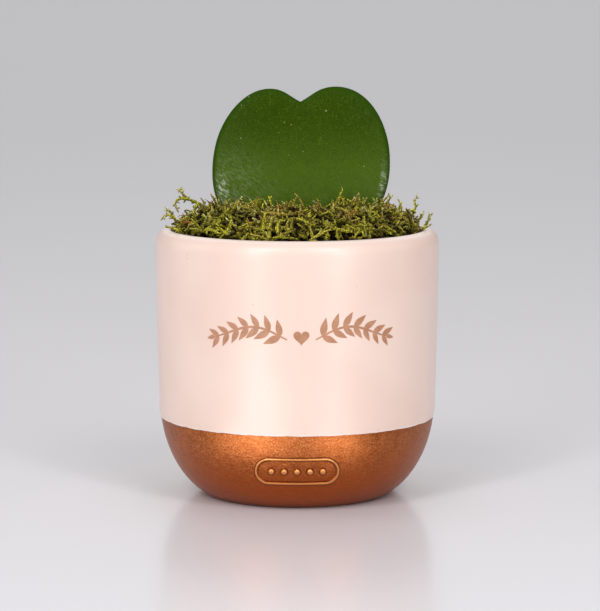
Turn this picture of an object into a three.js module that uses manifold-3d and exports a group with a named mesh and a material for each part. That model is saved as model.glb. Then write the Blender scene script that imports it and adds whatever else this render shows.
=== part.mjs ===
// A hoya kerrii heart leaf planted in a glazed pot with a dipped base, its soil dressed with moss.
// Millimetres, +Z up. The origin is on the pot's axis, on the surface that the pot stands on,
// and the leaf's face looks along -Y.
import * as THREE from "three";
import { mergeVertices } from "three/addons/utils/BufferGeometryUtils.js";
import Module from "manifold-3d";

const wasm = await Module();
wasm.setup();

// ---- Driving dimensions ----

const POT_DIAMETER = 95;
const POT_HEIGHT = 89.6;
const WALL = 5.2; // wall thickness, measured across
const FLOOR = 6; // height of the inside floor
const FOOT_RADIUS = 30.7; // where the bowl meets the surface
const FOOT_BEVEL = 0.5;
const FOOT_RING_WIDTH = 6.5; // flat ring that the pot rests on
const FOOT_RECESS = 1.5; // hollow inside that ring
const BOWL_TOP = 32; // height where the bowl becomes the wall
const BOWL_RADIUS = 46.6; // radius there
const BOWL_DEPTH = 34; // vertical half-axis of the bowl's ellipse
const PAINT_LINE = 26.5; // height where the glaze ends and the metallic dip begins
const GLAZE_STEP = 0.25; // how far the glaze stands proud of the dip
const LIP_WIDTH = 4.2; // outer rounding of the lip, across and down
const LIP_DROP = 4.8;
const LIP_INNER = 1.0; // inner rounding of the lip

const PLAQUE_HEIGHT = 14.3; // centre height of the raised oval on the dip
const PLAQUE_LENGTH = 27;
const PLAQUE_WIDTH = 8.6;
const PLAQUE_RIDGE = 0.75; // radius of the raised line, sunk to its middle in the wall
const BEAD_COUNT = 5;
const BEAD_RADIUS = 1.15;
const BEAD_PITCH = 4.2;

const SOIL_LEVEL = 77; // at the wall
const SOIL_CROWN = 1.5; // how much higher the soil is in the middle
const FIT = 0.42; // gap between pieces that lie against each other

const LEAF_LENGTH = 60.9;
const LEAF_NOTCH = 56.2; // height of the notch above the leaf's base
const LEAF_LOBE = 11.5; // how far each lobe's top is from the middle
const LEAF_WIDEST = 36.1; // height of the widest place
const LEAF_HALF_WIDTH = 29.5;
const LEAF_SLIM = 0.112; // how much nearer the middle the left lobe's top is
const LEAF_FULL = 0.057; // and how much wider the lower left side is
const LEAF_THICKNESS = 3.4;
const LEAF_BASE = new THREE.Vector3(2.9, 1.2, 75.7);
const LEAF_ROLL = THREE.MathUtils.degToRad(-1.84); // about +Y, so the right lobe stands higher
const LEAF_LEAN = THREE.MathUtils.degToRad(-2.5); // about +X, so the top leans back
const LEAF_CUP = 2.4; // how far the margins bend back
const PETIOLE_RADIUS = 1.7;
const PETIOLE_LENGTH = 17;

const MOSS_SEED = 7;
const MOSS_RISE = 4.4; // height of the moss cushion above the rim, under the sprigs
const MOSS_EDGE = 4.6; // how far the cushion drops at the wall
const MOSS_LUMPS = 0.8; // unevenness of the cushion
const MOSS_TUFTS = 0.9; // and how far its tufts stand up and down from that
const SPRIG_COUNT = 190;
const SPRIG_LENGTH = [5.5, 9.5];
const SPRIG_RADIUS = 0.9;
const STRAY_EVERY = 6; // one sprig in so many is a long stray one
const STRAY_STRETCH = 1.5;
const SPRIG_DRAWS = 12; // draws from which each sprig takes the roomiest
const SPRIG_SUNK = 1.6; // how deep a sprig is rooted in the cushion
const RIM_ROOM = 0.5; // how far above the lip a sprig passes

const LATHE_STEPS = 64;
const SOIL_STEPS = 32;
const MOSS_STEPS = 44;

const COLOURS = {
  pot: { color: 0xf2d6ca, roughness: 0.38, metalness: 0 },
  soil: { color: 0x33241a, roughness: 0.95, metalness: 0 },
  moss: { color: 0x6f6b25, roughness: 0.9, metalness: 0 },
  hoya_leaf: { color: 0x3b5710, roughness: 0.45, metalness: 0 },
};

// ---- Solids ----

// A closed geometry as a solid that can be joined and cut.
function solidOf(geometry) {
  const bare = new THREE.BufferGeometry();
  bare.setAttribute("position", geometry.getAttribute("position"));
  bare.setIndex(geometry.index);
  const merged = mergeVertices(bare, 1e-4);
  return new wasm.Manifold(
    new wasm.Mesh({
      numProp: 3,
      vertProperties: merged.attributes.position.array,
      triVerts: new Uint32Array(merged.index.array),
    }),
  );
}

// A solid back as a geometry.
function geometryOf(solid) {
  const { vertProperties, triVerts } = solid.getMesh();
  const geometry = new THREE.BufferGeometry();
  geometry.setAttribute("position", new THREE.BufferAttribute(vertProperties, 3));
  geometry.setIndex(new THREE.BufferAttribute(triVerts, 1));
  geometry.computeVertexNormals();
  return geometry;
}

// The largest body of a solid: what a cut left loose is dropped.
function largestBody(solid) {
  return solid.decompose().reduce((a, b) => (a.volume() > b.volume() ? a : b));
}

// A solid of revolution about +Z. The profile runs from the axis at the bottom, outwards and up,
// back to the axis.
function lathe(profile, steps) {
  const geometry = new THREE.LatheGeometry(profile, steps);
  geometry.rotateX(Math.PI / 2);
  return solidOf(geometry);
}

// A tapered rod along a curve, ending flat, or in a point if tipRadius is 0.
function rod(curve, rootRadius, tipRadius, sides, steps) {
  const geometry = new THREE.CylinderGeometry(tipRadius, rootRadius, 1, sides, steps);
  const frames = curve.computeFrenetFrames(steps, false);
  const place = geometry.getAttribute("position");
  const local = new THREE.Vector3();
  for (let i = 0; i < place.count; i += 1) {
    local.fromBufferAttribute(place, i);
    const step = Math.round((local.y + 0.5) * steps);
    const centre = curve.getPointAt(step / steps);
    centre.addScaledVector(frames.normals[step], local.z);
    centre.addScaledVector(frames.binormals[step], local.x);
    place.setXYZ(i, centre.x, centre.y, centre.z);
  }
  return solidOf(geometry);
}

// The same draws every time, each from 0 to 1.
function seededRandom(seed) {
  let state = seed;
  return () => {
    state = (state * 1664525 + 1013904223) % 4294967296;
    return state / 4294967296;
  };
}

// ---- Pot ----

// Outside radius at a height: the bowl's ellipse, then a wall that widens a little.
function outerRadius(z) {
  if (z < BOWL_TOP) {
    const footShare = Math.sqrt(1 - (BOWL_TOP / BOWL_DEPTH) ** 2);
    const halfAxis = (BOWL_RADIUS - FOOT_RADIUS) / (1 - footShare);
    const share = Math.sqrt(1 - ((BOWL_TOP - z) / BOWL_DEPTH) ** 2);
    return BOWL_RADIUS - halfAxis * (1 - share);
  }
  const t = Math.min(1, (z - BOWL_TOP) / (POT_HEIGHT - LIP_DROP - BOWL_TOP));
  return BOWL_RADIUS + (POT_DIAMETER / 2 - BOWL_RADIUS) * (1 - (1 - t) ** 1.5);
}

// Inside radius at a height: the outside's shape, lifted off the floor.
function innerRadius(z) {
  return outerRadius(z - FLOOR / 2) - WALL;
}

// Points from one height to another along a radius function.
function along(radiusAt, from, to, steps, inset = 0) {
  return Array.from({ length: steps + 1 }, (_, i) => {
    const z = THREE.MathUtils.lerp(from, to, i / steps);
    return new THREE.Vector2(radiusAt(z) - inset, z);
  });
}

// Points on a quarter ellipse about (r, z), from one angle to another.
function corner(r, z, across, down, from, to, steps) {
  return Array.from({ length: steps + 1 }, (_, i) => {
    const angle = THREE.MathUtils.lerp(from, to, i / steps);
    return new THREE.Vector2(r + across * Math.cos(angle), z + down * Math.sin(angle));
  });
}

function potShell() {
  const outside = POT_DIAMETER / 2;
  const inside = outside - WALL;
  const ringInside = FOOT_RADIUS - FOOT_RING_WIDTH;
  const outerCorner = POT_HEIGHT - LIP_DROP;
  const innerCorner = POT_HEIGHT - LIP_INNER;
  const profile = [
    new THREE.Vector2(0, FOOT_RECESS),
    new THREE.Vector2(ringInside - FOOT_RECESS, FOOT_RECESS),
    new THREE.Vector2(ringInside, 0),
    new THREE.Vector2(FOOT_RADIUS - GLAZE_STEP - FOOT_BEVEL, 0),
    ...along(outerRadius, FOOT_BEVEL, PAINT_LINE, 7, GLAZE_STEP),
    ...along(outerRadius, PAINT_LINE + GLAZE_STEP, BOWL_TOP, 1),
    ...along(outerRadius, BOWL_TOP, outerCorner, 3).slice(1, -1),
    ...corner(outside - LIP_WIDTH, outerCorner, LIP_WIDTH, LIP_DROP, 0, Math.PI / 2, 5),
    ...corner(inside + LIP_INNER, innerCorner, LIP_INNER, LIP_INNER, Math.PI / 2, Math.PI, 2).slice(1),
    ...along(innerRadius, innerCorner, BOWL_TOP, 3).slice(1),
    ...along(innerRadius, BOWL_TOP, FLOOR, 4).slice(1),
    new THREE.Vector2(0, FLOOR),
  ];
  return lathe(profile, LATHE_STEPS);
}

// A point on the outside of the bowl, by the distance round it from the front and by height.
function onBowl(around, z) {
  const r = outerRadius(z) - GLAZE_STEP;
  const angle = around / r - Math.PI / 2;
  return new THREE.Vector3(r * Math.cos(angle), r * Math.sin(angle), z);
}

// A plain raised oval line with a row of beads in it, moulded on the front of the dip.
function plaque() {
  const half = (PLAQUE_LENGTH - PLAQUE_WIDTH) / 2;
  const round = PLAQUE_WIDTH / 2;
  const outline = new THREE.Path();
  outline.moveTo(-half, -round);
  outline.lineTo(half, -round);
  outline.absarc(half, 0, round, -Math.PI / 2, Math.PI / 2);
  outline.lineTo(-half, round);
  outline.absarc(-half, 0, round, Math.PI / 2, (3 * Math.PI) / 2);
  const line = outline.getSpacedPoints(28).slice(0, -1);
  const loop = new THREE.CatmullRomCurve3(line.map((p) => onBowl(p.x, PLAQUE_HEIGHT + p.y)), true);
  const ridge = solidOf(new THREE.TubeGeometry(loop, 36, PLAQUE_RIDGE, 6, true));
  const beads = Array.from({ length: BEAD_COUNT }, (_, i) => {
    const place = onBowl((i - (BEAD_COUNT - 1) / 2) * BEAD_PITCH, PLAQUE_HEIGHT);
    const bead = new THREE.SphereGeometry(BEAD_RADIUS, 8, 6);
    return solidOf(bead.translate(place.x, place.y, place.z));
  });
  return wasm.Manifold.union([ridge, ...beads]);
}

function pot() {
  return potShell().add(plaque());
}

// ---- Leaf ----

// The heart's outline in the leaf's own plane, with its base at (0, 0) and its notch on top.
function leafOutline() {
  const at = (across, height) => new THREE.Vector2(across, height);
  const widest = at(LEAF_HALF_WIDTH, LEAF_WIDEST);
  const lobe = at(LEAF_LOBE, LEAF_LENGTH);
  const notch = at(0, LEAF_NOTCH);
  const half = new THREE.CurvePath();
  half.add(new THREE.CubicBezierCurve(at(0, 0), at(17, 10), at(29.6, 16.8), widest));
  half.add(new THREE.CubicBezierCurve(widest, at(29.7, 47.4), at(23.5, LEAF_LENGTH), lobe));
  half.add(new THREE.CubicBezierCurve(lobe, at(6.1, LEAF_LENGTH), at(3.9, 58.1), notch));
  return half;
}

// How much wider the left half is than the right, by a place across and its share of the height.
function leafSkew(across, up) {
  if (across > 0) {
    return 1;
  }
  const high = Math.max(0, up - 0.55) / 0.45;
  const low = 1 - THREE.MathUtils.smoothstep(up, 0.3, 0.7);
  return 1.017 - LEAF_SLIM * high * high + LEAF_FULL * low;
}

// From the leaf's own plane to the pot: bent at the margins, rolled, leant back and set on its base.
function placeLeaf(across, height, depth) {
  const side = across / LEAF_HALF_WIDTH;
  const top = Math.max(0, height / LEAF_LENGTH - 0.5);
  const bend = LEAF_CUP * side * side + 1.5 * LEAF_CUP * top * top;
  const point = new THREE.Vector3(across, depth + bend, height);
  point.applyAxisAngle(new THREE.Vector3(0, 1, 0), LEAF_ROLL);
  point.applyAxisAngle(new THREE.Vector3(1, 0, 0), LEAF_LEAN);
  return point.add(LEAF_BASE);
}

// The leaf with its stalk, fatter all round by grow: a ball whose rings are drawn out to the
// heart's outline.
function leaf(grow = 0) {
  const outlineSteps = 72;
  const half = leafOutline();
  const middle = new THREE.Vector2(0, LEAF_WIDEST);
  const blade = new THREE.SphereGeometry(1, outlineSteps, 12);
  const place = blade.getAttribute("position");
  const ball = new THREE.Vector3();
  for (let i = 0; i < place.count; i += 1) {
    ball.fromBufferAttribute(place, i);
    const across = Math.hypot(ball.x, ball.z);
    const turn = Math.atan2(ball.x, ball.z) / Math.PI;
    const margin = half.getPointAt(Math.min(1, Math.abs(turn)));
    margin.x *= Math.sign(turn);
    const ring = Math.sqrt(across) * (1 + grow / LEAF_HALF_WIDTH);
    const point = margin.sub(middle).multiplyScalar(ring).add(middle);
    point.x *= leafSkew(point.x, point.y / LEAF_LENGTH);
    const depth = -Math.sign(ball.y) * Math.abs(ball.y) ** 0.6 * (LEAF_THICKNESS / 2 + grow);
    place.setXYZ(i, ...placeLeaf(point.x, point.y, depth).toArray());
  }
  const stalkTop = placeLeaf(0, 5, 0);
  const stalkFoot = LEAF_BASE.clone().add(new THREE.Vector3(-1, 0.5, -PETIOLE_LENGTH - grow));
  const stalkPath = new THREE.QuadraticBezierCurve3(stalkTop, LEAF_BASE.clone(), stalkFoot);
  const stalk = rod(stalkPath, 1.3 + grow, PETIOLE_RADIUS + grow, 10, 6);
  return solidOf(blade).add(stalk);
}

// ---- Soil ----

function soil(leafRoom) {
  const level = SOIL_LEVEL - SOIL_CROWN;
  const profile = [
    new THREE.Vector2(0, FLOOR + FIT),
    ...along(innerRadius, FLOOR + FIT, BOWL_TOP, 4, FIT),
    ...along(innerRadius, BOWL_TOP, level, 2, FIT).slice(1),
    new THREE.Vector2(innerRadius(level) * 0.6, SOIL_LEVEL - SOIL_CROWN * 0.3),
    new THREE.Vector2(0, SOIL_LEVEL),
  ];
  return largestBody(lathe(profile, SOIL_STEPS).subtract(leafRoom));
}

// ---- Moss ----

// Height of the cushion's top: uneven, tufted, highest round the leaf and dropping at the wall.
function mossTop(r, angle) {
  const share = r / (POT_DIAMETER / 2 - WALL);
  const edge = share ** 6;
  const lumps = Math.sin(3 * angle + 0.12 * r) + Math.sin(5 * angle - 0.3 * r + 1);
  const tufts = Math.sin(11 * angle + 1.1 * r) * Math.sin(14 * angle - 0.8 * r) * Math.min(1, 2 * share);
  const uneven = 0.5 * MOSS_LUMPS * lumps + MOSS_TUFTS * tufts;
  return POT_HEIGHT + MOSS_RISE - MOSS_EDGE * edge + uneven * (1 - edge);
}

// The tangled cushion under the sprigs, from just above the soil up to mossTop.
function mossCushion() {
  const reach = innerRadius(SOIL_LEVEL) - FIT;
  const rings = [1, 0.94, 0.87, 0.79, 0.7, 0.6, 0.49, 0.36, 0.2, 0];
  const profile = [
    new THREE.Vector2(0, SOIL_LEVEL + FIT),
    new THREE.Vector2(reach * 0.6, SOIL_LEVEL - SOIL_CROWN * 0.3 + FIT),
    new THREE.Vector2(reach, SOIL_LEVEL - SOIL_CROWN + FIT),
    ...rings.map((share) => new THREE.Vector2(share * reach, POT_HEIGHT)),
  ];
  const geometry = new THREE.LatheGeometry(profile, MOSS_STEPS);
  geometry.rotateX(Math.PI / 2);
  const place = geometry.getAttribute("position");
  for (let i = 0; i < place.count; i += 1) {
    const x = place.getX(i);
    const y = place.getY(i);
    if (place.getZ(i) > POT_HEIGHT - 1) {
      place.setZ(i, mossTop(Math.hypot(x, y), Math.atan2(y, x)));
    }
  }
  return solidOf(geometry);
}

// One strand of moss: from a root, leaning towards an azimuth and drooping as it goes.
function strand(root, azimuth, lean, length) {
  const reach = new THREE.Vector3(Math.cos(azimuth), Math.sin(azimuth), 0);
  const middle = root.clone().addScaledVector(reach, 0.5 * length * Math.sin(lean * 0.6));
  middle.z += 0.5 * length * Math.cos(lean * 0.6);
  const tip = root.clone().addScaledVector(reach, length * Math.sin(lean));
  tip.z += length * Math.cos(lean);
  return new THREE.QuadraticBezierCurve3(root, middle, tip);
}

// A sprig is a stem, and on every other one a side twig from its middle.
function sprig(root, azimuth, lean, length, twigTurn) {
  const stem = strand(root, azimuth, lean, length);
  const twig = strand(stem.getPointAt(0.45), azimuth + twigTurn, Math.min(1.3, lean + 0.5), length * 0.5);
  return { stem, twig, points: [...stem.getPoints(6).slice(2), ...twig.getPoints(3)] };
}

// One drawn sprig at a place on the cushion: any way in the middle, outwards at the wall.
function drawSprig(between, r, angle, atWall, stretch) {
  const root = new THREE.Vector3(r * Math.cos(angle), r * Math.sin(angle), mossTop(r, angle) - SPRIG_SUNK);
  const azimuth = angle + between(-1, 1) * (Math.PI - 2.2 * atWall);
  const lean = between(0.4, 1.2) * (1 - 0.5 * atWall);
  const length = between(...SPRIG_LENGTH) * (1 - 0.25 * atWall) * stretch;
  const twigTurn = between(0.7, 1.6) * Math.sign(between(-1, 1));
  return sprig(root, azimuth, lean, length, twigTurn);
}

// Sprigs on a sunflower's spiral all over the cushion, each the roomiest of a few draws.
function mossSprigs() {
  const random = seededRandom(MOSS_SEED);
  const between = (low, high) => low + (high - low) * random();
  const reach = innerRadius(SOIL_LEVEL) - FIT - 1.2;
  const goldenAngle = Math.PI * (3 - Math.sqrt(5));
  const taken = [];
  const rods = [];
  const room = (points) => Math.min(9, ...points.flatMap((p) => taken.map((q) => p.distanceTo(q))));
  for (let i = 0; i < SPRIG_COUNT; i += 1) {
    const r = reach * Math.sqrt((i + 0.5) / SPRIG_COUNT);
    const stretch = i % STRAY_EVERY === 0 ? STRAY_STRETCH : 1;
    const draws = Array.from({ length: SPRIG_DRAWS }, () =>
      drawSprig(between, r, i * goldenAngle, (r / reach) ** 4, stretch),
    );
    const best = draws.reduce((a, b) => (room(a.points) > room(b.points) ? a : b));
    taken.push(...best.points);
    rods.push(rod(best.stem, SPRIG_RADIUS, 0, 3, 2));
    if (i % 2 === 0) {
      rods.push(rod(best.twig, SPRIG_RADIUS * 0.8, 0, 3, 1));
    }
  }
  return rods;
}

// What the sprigs keep out of: the lip with some room over it, and all that lies outside it.
function lipRoom() {
  const inside = POT_DIAMETER / 2 - WALL - FIT;
  const top = POT_HEIGHT + RIM_ROOM;
  const wide = POT_DIAMETER;
  const profile = [
    new THREE.Vector2(inside, 0),
    new THREE.Vector2(wide, 0),
    new THREE.Vector2(wide, top),
    new THREE.Vector2(inside + LIP_INNER, top),
    new THREE.Vector2(inside, top - LIP_INNER),
    new THREE.Vector2(inside, 0),
  ];
  return lathe(profile, LATHE_STEPS);
}

function moss(leafRoom) {
  const tangle = wasm.Manifold.union([mossCushion(), ...mossSprigs()]);
  return largestBody(tangle.subtract(lipRoom()).subtract(leafRoom));
}

// ---- The potted plant ----

function piece(name, solid) {
  const mesh = new THREE.Mesh(geometryOf(solid), new THREE.MeshStandardMaterial(COLOURS[name]));
  mesh.name = name;
  return mesh;
}

const leafRoom = leaf(FIT);
const plant = new THREE.Group();
plant.add(piece("pot", pot()));
plant.add(piece("soil", soil(leafRoom)));
plant.add(piece("moss", moss(leafRoom)));
plant.add(piece("hoya_leaf", leaf()));

export default plant;
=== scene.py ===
"""A heart-leaf hoya in a dipped pot, dressed with moss: a glazed pot, a painted garland, soil, one
thick upright leaf and a tangle of forked moss sprigs. All lengths are in metres."""

import math
import random

import bmesh
import bpy
from mathutils import Matrix, Vector, geometry, noise


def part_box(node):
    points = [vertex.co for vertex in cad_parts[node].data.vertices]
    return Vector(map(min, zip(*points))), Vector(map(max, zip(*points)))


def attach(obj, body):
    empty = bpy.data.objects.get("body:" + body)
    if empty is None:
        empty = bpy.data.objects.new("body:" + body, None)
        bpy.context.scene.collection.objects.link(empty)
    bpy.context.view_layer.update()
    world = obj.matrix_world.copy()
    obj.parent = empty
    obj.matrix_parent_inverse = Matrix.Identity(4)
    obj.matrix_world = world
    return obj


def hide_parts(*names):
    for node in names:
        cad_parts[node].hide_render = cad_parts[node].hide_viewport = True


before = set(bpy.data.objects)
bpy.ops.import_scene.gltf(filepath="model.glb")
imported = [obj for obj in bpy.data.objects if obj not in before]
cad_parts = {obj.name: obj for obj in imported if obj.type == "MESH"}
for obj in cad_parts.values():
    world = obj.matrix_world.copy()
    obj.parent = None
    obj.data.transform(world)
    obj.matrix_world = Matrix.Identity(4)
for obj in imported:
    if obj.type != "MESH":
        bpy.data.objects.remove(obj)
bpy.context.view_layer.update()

bl_info = {
    "name": "Heart-leaf Hoya in a Dipped Pot",
    "version": (1, 0, 0),
    "blender": (4, 5, 0),
    "location": "3D Viewport > Sidebar > Hoya",
    "description": "Models a potted heart-leaf hoya with its moss dressing and sets a plain stage for it",
    "category": "Add Mesh",
}

MM = 0.001
_, POT_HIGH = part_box("pot")
POT_RADIUS = POT_HIGH.x
POT_HEIGHT = POT_HIGH.z

# ---- Settings ----


def length(name, description, default):
    """A length that a user would change."""
    return bpy.props.FloatProperty(
        name=name, description=description, default=default, min=0, unit="LENGTH", precision=5
    )


def colour(name, description, default):
    """A colour that a user would change."""
    return bpy.props.FloatVectorProperty(
        name=name, description=description, default=default, size=3, min=0, max=1, subtype="COLOR"
    )


def count(name, description, default):
    """A number of like things that a user would change."""
    return bpy.props.IntProperty(name=name, description=description, default=default, min=0)


def strength(name, description, default, unit="POWER"):
    """The strength of some lights, which a user would change."""
    return bpy.props.FloatProperty(name=name, description=description, default=default, min=0, unit=unit)


class PotSettings(bpy.types.PropertyGroup):
    """Sizes and colours of the pot."""

    wall: length("Wall", "Thickness of the wall", 5.2 * MM)
    floor: length("Floor", "Height of the inside floor", 6 * MM)
    foot_radius: length("Foot Radius", "Radius where the bowl meets the surface", 30.7 * MM)
    bowl_top: length("Bowl Top", "Height where the bowl becomes the wall", 32 * MM)
    bowl_radius: length("Bowl Radius", "Radius at the top of the bowl", 46.6 * MM)
    bowl_depth: length("Bowl Depth", "Upright half-axis of the bowl's ellipse", 34 * MM)
    paint_line: length("Paint Line", "Height where the glaze ends and the dip begins", 26.5 * MM)
    glaze_step: length("Glaze Step", "How far the glaze stands proud of the dip", 0.25 * MM)
    glaze: colour("Glaze", "Colour of the glaze", (0.91, 0.70, 0.61))
    # Paler glaze where it thins out; the same colour is also a painted highlight along the glaze's lower edge
    # and on the lip.
    glaze_edge_highlight: colour("Glaze Edge", "Colour where the glaze thins out", (0.93, 0.86, 0.82))
    dip: colour("Dip", "Colour of the metallic dip", (0.36, 0.103, 0.027))


class GarlandSettings(bpy.types.PropertyGroup):
    """Sizes and colour of the painted garland."""

    height: length("Height", "Height of the garland's middle on the wall", 59 * MM)
    half_width: length("Half Width", "Reach of the garland to each side", 32 * MM)
    paint: colour("Paint", "Colour of the garland", (0.42, 0.19, 0.10))


class LeafSettings(bpy.types.PropertyGroup):
    """Sizes and colours of the leaf."""

    tall: length("Length", "From the base to the top of the lobes", 60.9 * MM)
    notch: length("Notch", "From the base to the notch", 56.2 * MM)
    lobe: length("Lobe", "From the middle to the top of each lobe", 11.5 * MM)
    widest: length("Widest", "Height of the widest place above the base", 36.1 * MM)
    half_width: length("Half Width", "Half of the greatest width", 29.5 * MM)
    thickness: length("Thickness", "Thickness in the middle", 3.4 * MM)
    cup: length("Cup", "How far the margins bend back", 2.4 * MM)
    face: colour("Face", "Colour of the upper side", (0.0255, 0.0560, 0.0009))
    back: colour("Back", "Colour of the underside", (0.085, 0.145, 0.032))


class MossSettings(bpy.types.PropertyGroup):
    """Amounts and colours of the moss."""

    sprigs: count("Sprigs", "Number of sprigs in the tangle", 2700)
    fringe: count("Fringe", "Number of upright sprigs along the leaf", 160)
    dry_bits: count("Dry Bits", "Number of dried sprigs and scraps", 30)
    seed: count("Seed", "Start of the random draws", 11)
    green: colour("Green", "Colour of the fresh moss", (0.82, 0.78, 0.045))
    brown: colour("Brown", "Colour of the old moss", (0.60, 0.33, 0.085))
    tip: colour("Tip", "Colour of the pale tips", (0.95, 0.88, 0.42))


class StageSettings(bpy.types.PropertyGroup):
    """The floor and the light."""

    floor: colour("Floor", "Colour of the floor", (0.80, 0.78, 0.82))
    high: strength("High Lights", "Watts a square metre of the high lights", 0.5, unit="NONE")
    strips: strength("Strips", "Power of the tall lights", 5.0)
    cards: strength("Cards", "Power of the glowing cards on the floor", 0.155)


# ---- Modelling ----

MERGE_DISTANCE = 0.002 * MM  # points nearer to each other than this are one


def pick(*objects):
    """Leaves edit mode and selects only these objects, the first of them active."""
    if bpy.context.mode != "OBJECT":
        bpy.ops.object.mode_set(mode="OBJECT")
    bpy.ops.object.select_all(action="DESELECT")
    for obj in objects:
        obj.select_set(True)
    bpy.context.view_layer.objects.active = objects[0] if objects else None


def start_vertex(name, place):
    """A new piece of one vertex, in edit mode, ready to be extruded."""
    pick()
    bpy.ops.mesh.primitive_plane_add(size=MM, location=place)
    bpy.ops.object.transform_apply(location=True, rotation=False, scale=False)
    piece = bpy.context.object
    piece.name = name
    piece.data.name = name
    bpy.ops.object.mode_set(mode="EDIT")
    bpy.ops.mesh.select_mode(type="VERT")
    bpy.ops.mesh.select_all(action="SELECT")
    bpy.ops.mesh.merge(type="CENTER")
    return piece


def extrude_through(points):
    """Extrudes the selected vertex, which lies on the first point, through the others."""
    for here, there in zip(points, points[1:]):
        bpy.ops.mesh.extrude_region_move(TRANSFORM_OT_translate={"value": there - here})


def spin_profile(name, profile, steps):
    """A closed solid of revolution. The profile, pairs of radius and height, starts and ends on the axis
    or closes on itself."""
    points = [Vector((radius, 0, height)) for radius, height in profile]
    piece = start_vertex(name, points[0])
    extrude_through(points)
    bpy.ops.mesh.select_all(action="SELECT")
    bpy.ops.mesh.spin(steps=steps, angle=math.tau, center=(0, 0, 0), axis=(0, 0, 1))
    bpy.ops.mesh.select_all(action="SELECT")
    bpy.ops.mesh.remove_doubles(threshold=MERGE_DISTANCE)
    face_outwards()
    bpy.ops.object.mode_set(mode="OBJECT")
    return piece


def fill_outline(name, outline):
    """A flat piece: one face inside this outline."""
    piece = start_vertex(name, outline[0])
    extrude_through(outline)
    bpy.ops.mesh.select_all(action="SELECT")
    bpy.ops.mesh.edge_face_add()
    bpy.ops.object.mode_set(mode="OBJECT")
    return piece


def select_faces(piece, wanted):
    """Selects in edit mode the faces whose middle is wanted."""
    bpy.ops.mesh.select_mode(type="FACE")
    bpy.ops.mesh.select_all(action="DESELECT")
    shape = bmesh.from_edit_mesh(piece.data)
    for face in shape.faces:
        face.select_set(wanted(face.calc_center_median()))
    bmesh.update_edit_mesh(piece.data)


def edit(piece, *steps):
    """Takes these steps in edit mode, with all of the piece selected."""
    pick(piece)
    bpy.ops.object.mode_set(mode="EDIT")
    bpy.ops.mesh.select_all(action="SELECT")
    for step in steps:
        step()
    bpy.ops.object.mode_set(mode="OBJECT")


def face_outwards():
    """Points the selected faces outwards, or all one way where they aren't closed."""
    bpy.ops.mesh.normals_make_consistent(inside=False)


def add_modifier(piece, kind, **settings):
    """Adds a modifier with these settings and applies it."""
    pick(piece)
    bpy.ops.object.modifier_add(type=kind)
    modifier = piece.modifiers[-1]
    for key, value in settings.items():
        setattr(modifier, key, value)
    bpy.ops.object.modifier_apply(modifier=modifier.name)


def smooth(piece, degrees=180):
    """Smooth shading, except across edges sharper than this."""
    pick(piece)
    bpy.ops.object.shade_smooth_by_angle(angle=math.radians(degrees))


def delete(piece):
    """Removes a piece that was only needed on the way."""
    pick(piece)
    bpy.ops.object.delete()


def dress(piece, *materials):
    """Gives a piece these materials in place of any others."""
    piece.data.materials.clear()
    for material in materials:
        piece.data.materials.append(material)


def hand_over(piece, slot, *nodes):
    """Rides on the part and stands for these nodes, which it hides. The slot is not used."""
    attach(piece, "root")
    if nodes:
        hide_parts(*nodes)


def paint_values(piece, name, values):
    """One number for each vertex, for a material to read."""
    attribute = piece.data.attributes.get(name) or piece.data.attributes.new(name, "FLOAT", "POINT")
    attribute.data.foreach_set("value", values)


def steps_between(low, high, steps):
    """Evenly spaced numbers from low to high, both included."""
    return [low + (high - low) * i / steps for i in range(steps + 1)]


def fade(value, low, high):
    """0 below low, 1 above high and smooth between."""
    share = min(1, max(0, (value - low) / (high - low)))
    return share * share * (3 - 2 * share)


# ---- Materials ----


def new_material(name):
    """A material with its tree, its Principled BSDF and its Object coordinates."""
    material = bpy.data.materials.new(name)
    material.use_nodes = True
    tree = material.node_tree
    shader = tree.nodes["Principled BSDF"]
    place = tree.nodes.new("ShaderNodeTexCoord").outputs["Object"]
    return material, tree, shader, place


def add_node(tree, kind, inputs=None, **settings):
    """A node whose inputs take a value or another node's output."""
    made = tree.nodes.new(kind)
    for key, value in settings.items():
        setattr(made, key, value)
    for key, value in (inputs or {}).items():
        if isinstance(value, bpy.types.NodeSocket):
            tree.links.new(value, made.inputs[key])
        else:
            made.inputs[key].default_value = value
    return made


def maths(tree, operation, a, b):
    """The result of one sum."""
    return add_node(tree, "ShaderNodeMath", {0: a, 1: b}, operation=operation).outputs[0]


def times(tree, a, b):
    """The product of two values."""
    return maths(tree, "MULTIPLY", a, b)


def rescale(tree, value, low, high, to_low=0.0, to_high=1.0):
    """value from low and high to to_low and to_high, smoothly, and no further."""
    inputs = {"Value": value, "From Min": low, "From Max": high, "To Min": to_low, "To Max": to_high}
    return add_node(tree, "ShaderNodeMapRange", inputs, interpolation_type="SMOOTHSTEP").outputs["Result"]


def mix(tree, share, first, second):
    """A colour between two: each is an output or three numbers."""
    made = add_node(tree, "ShaderNodeMix", {"Factor": share}, data_type="RGBA")
    for socket, value in ((made.inputs[6], first), (made.inputs[7], second)):
        if isinstance(value, bpy.types.NodeSocket):
            tree.links.new(value, socket)
        else:
            socket.default_value = (*value, 1)
    return made.outputs[2]


def tone(shade, *factors):
    """A darker or lighter colour: one factor for all of it, or one for each of its three numbers."""
    if len(factors) == 1:
        factors *= 3
    return tuple(min(1, part * factor) for part, factor in zip(shade, factors))


def painted(tree, name):
    """The number that the vertices carry under this name."""
    return add_node(tree, "ShaderNodeAttribute", attribute_name=name).outputs["Fac"]


def height_of(tree, place):
    """The height part of the coordinates."""
    return add_node(tree, "ShaderNodeSeparateXYZ", {"Vector": place}).outputs["Z"]


def noise_at(tree, place, scale, detail=2.0, roughness=0.5, distortion=0.0):
    """Cloudy noise with this many features in a metre."""
    inputs = {"Vector": place, "Scale": scale, "Detail": detail, "Roughness": roughness}
    return add_node(tree, "ShaderNodeTexNoise", {**inputs, "Distortion": distortion}).outputs["Fac"]


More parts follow.
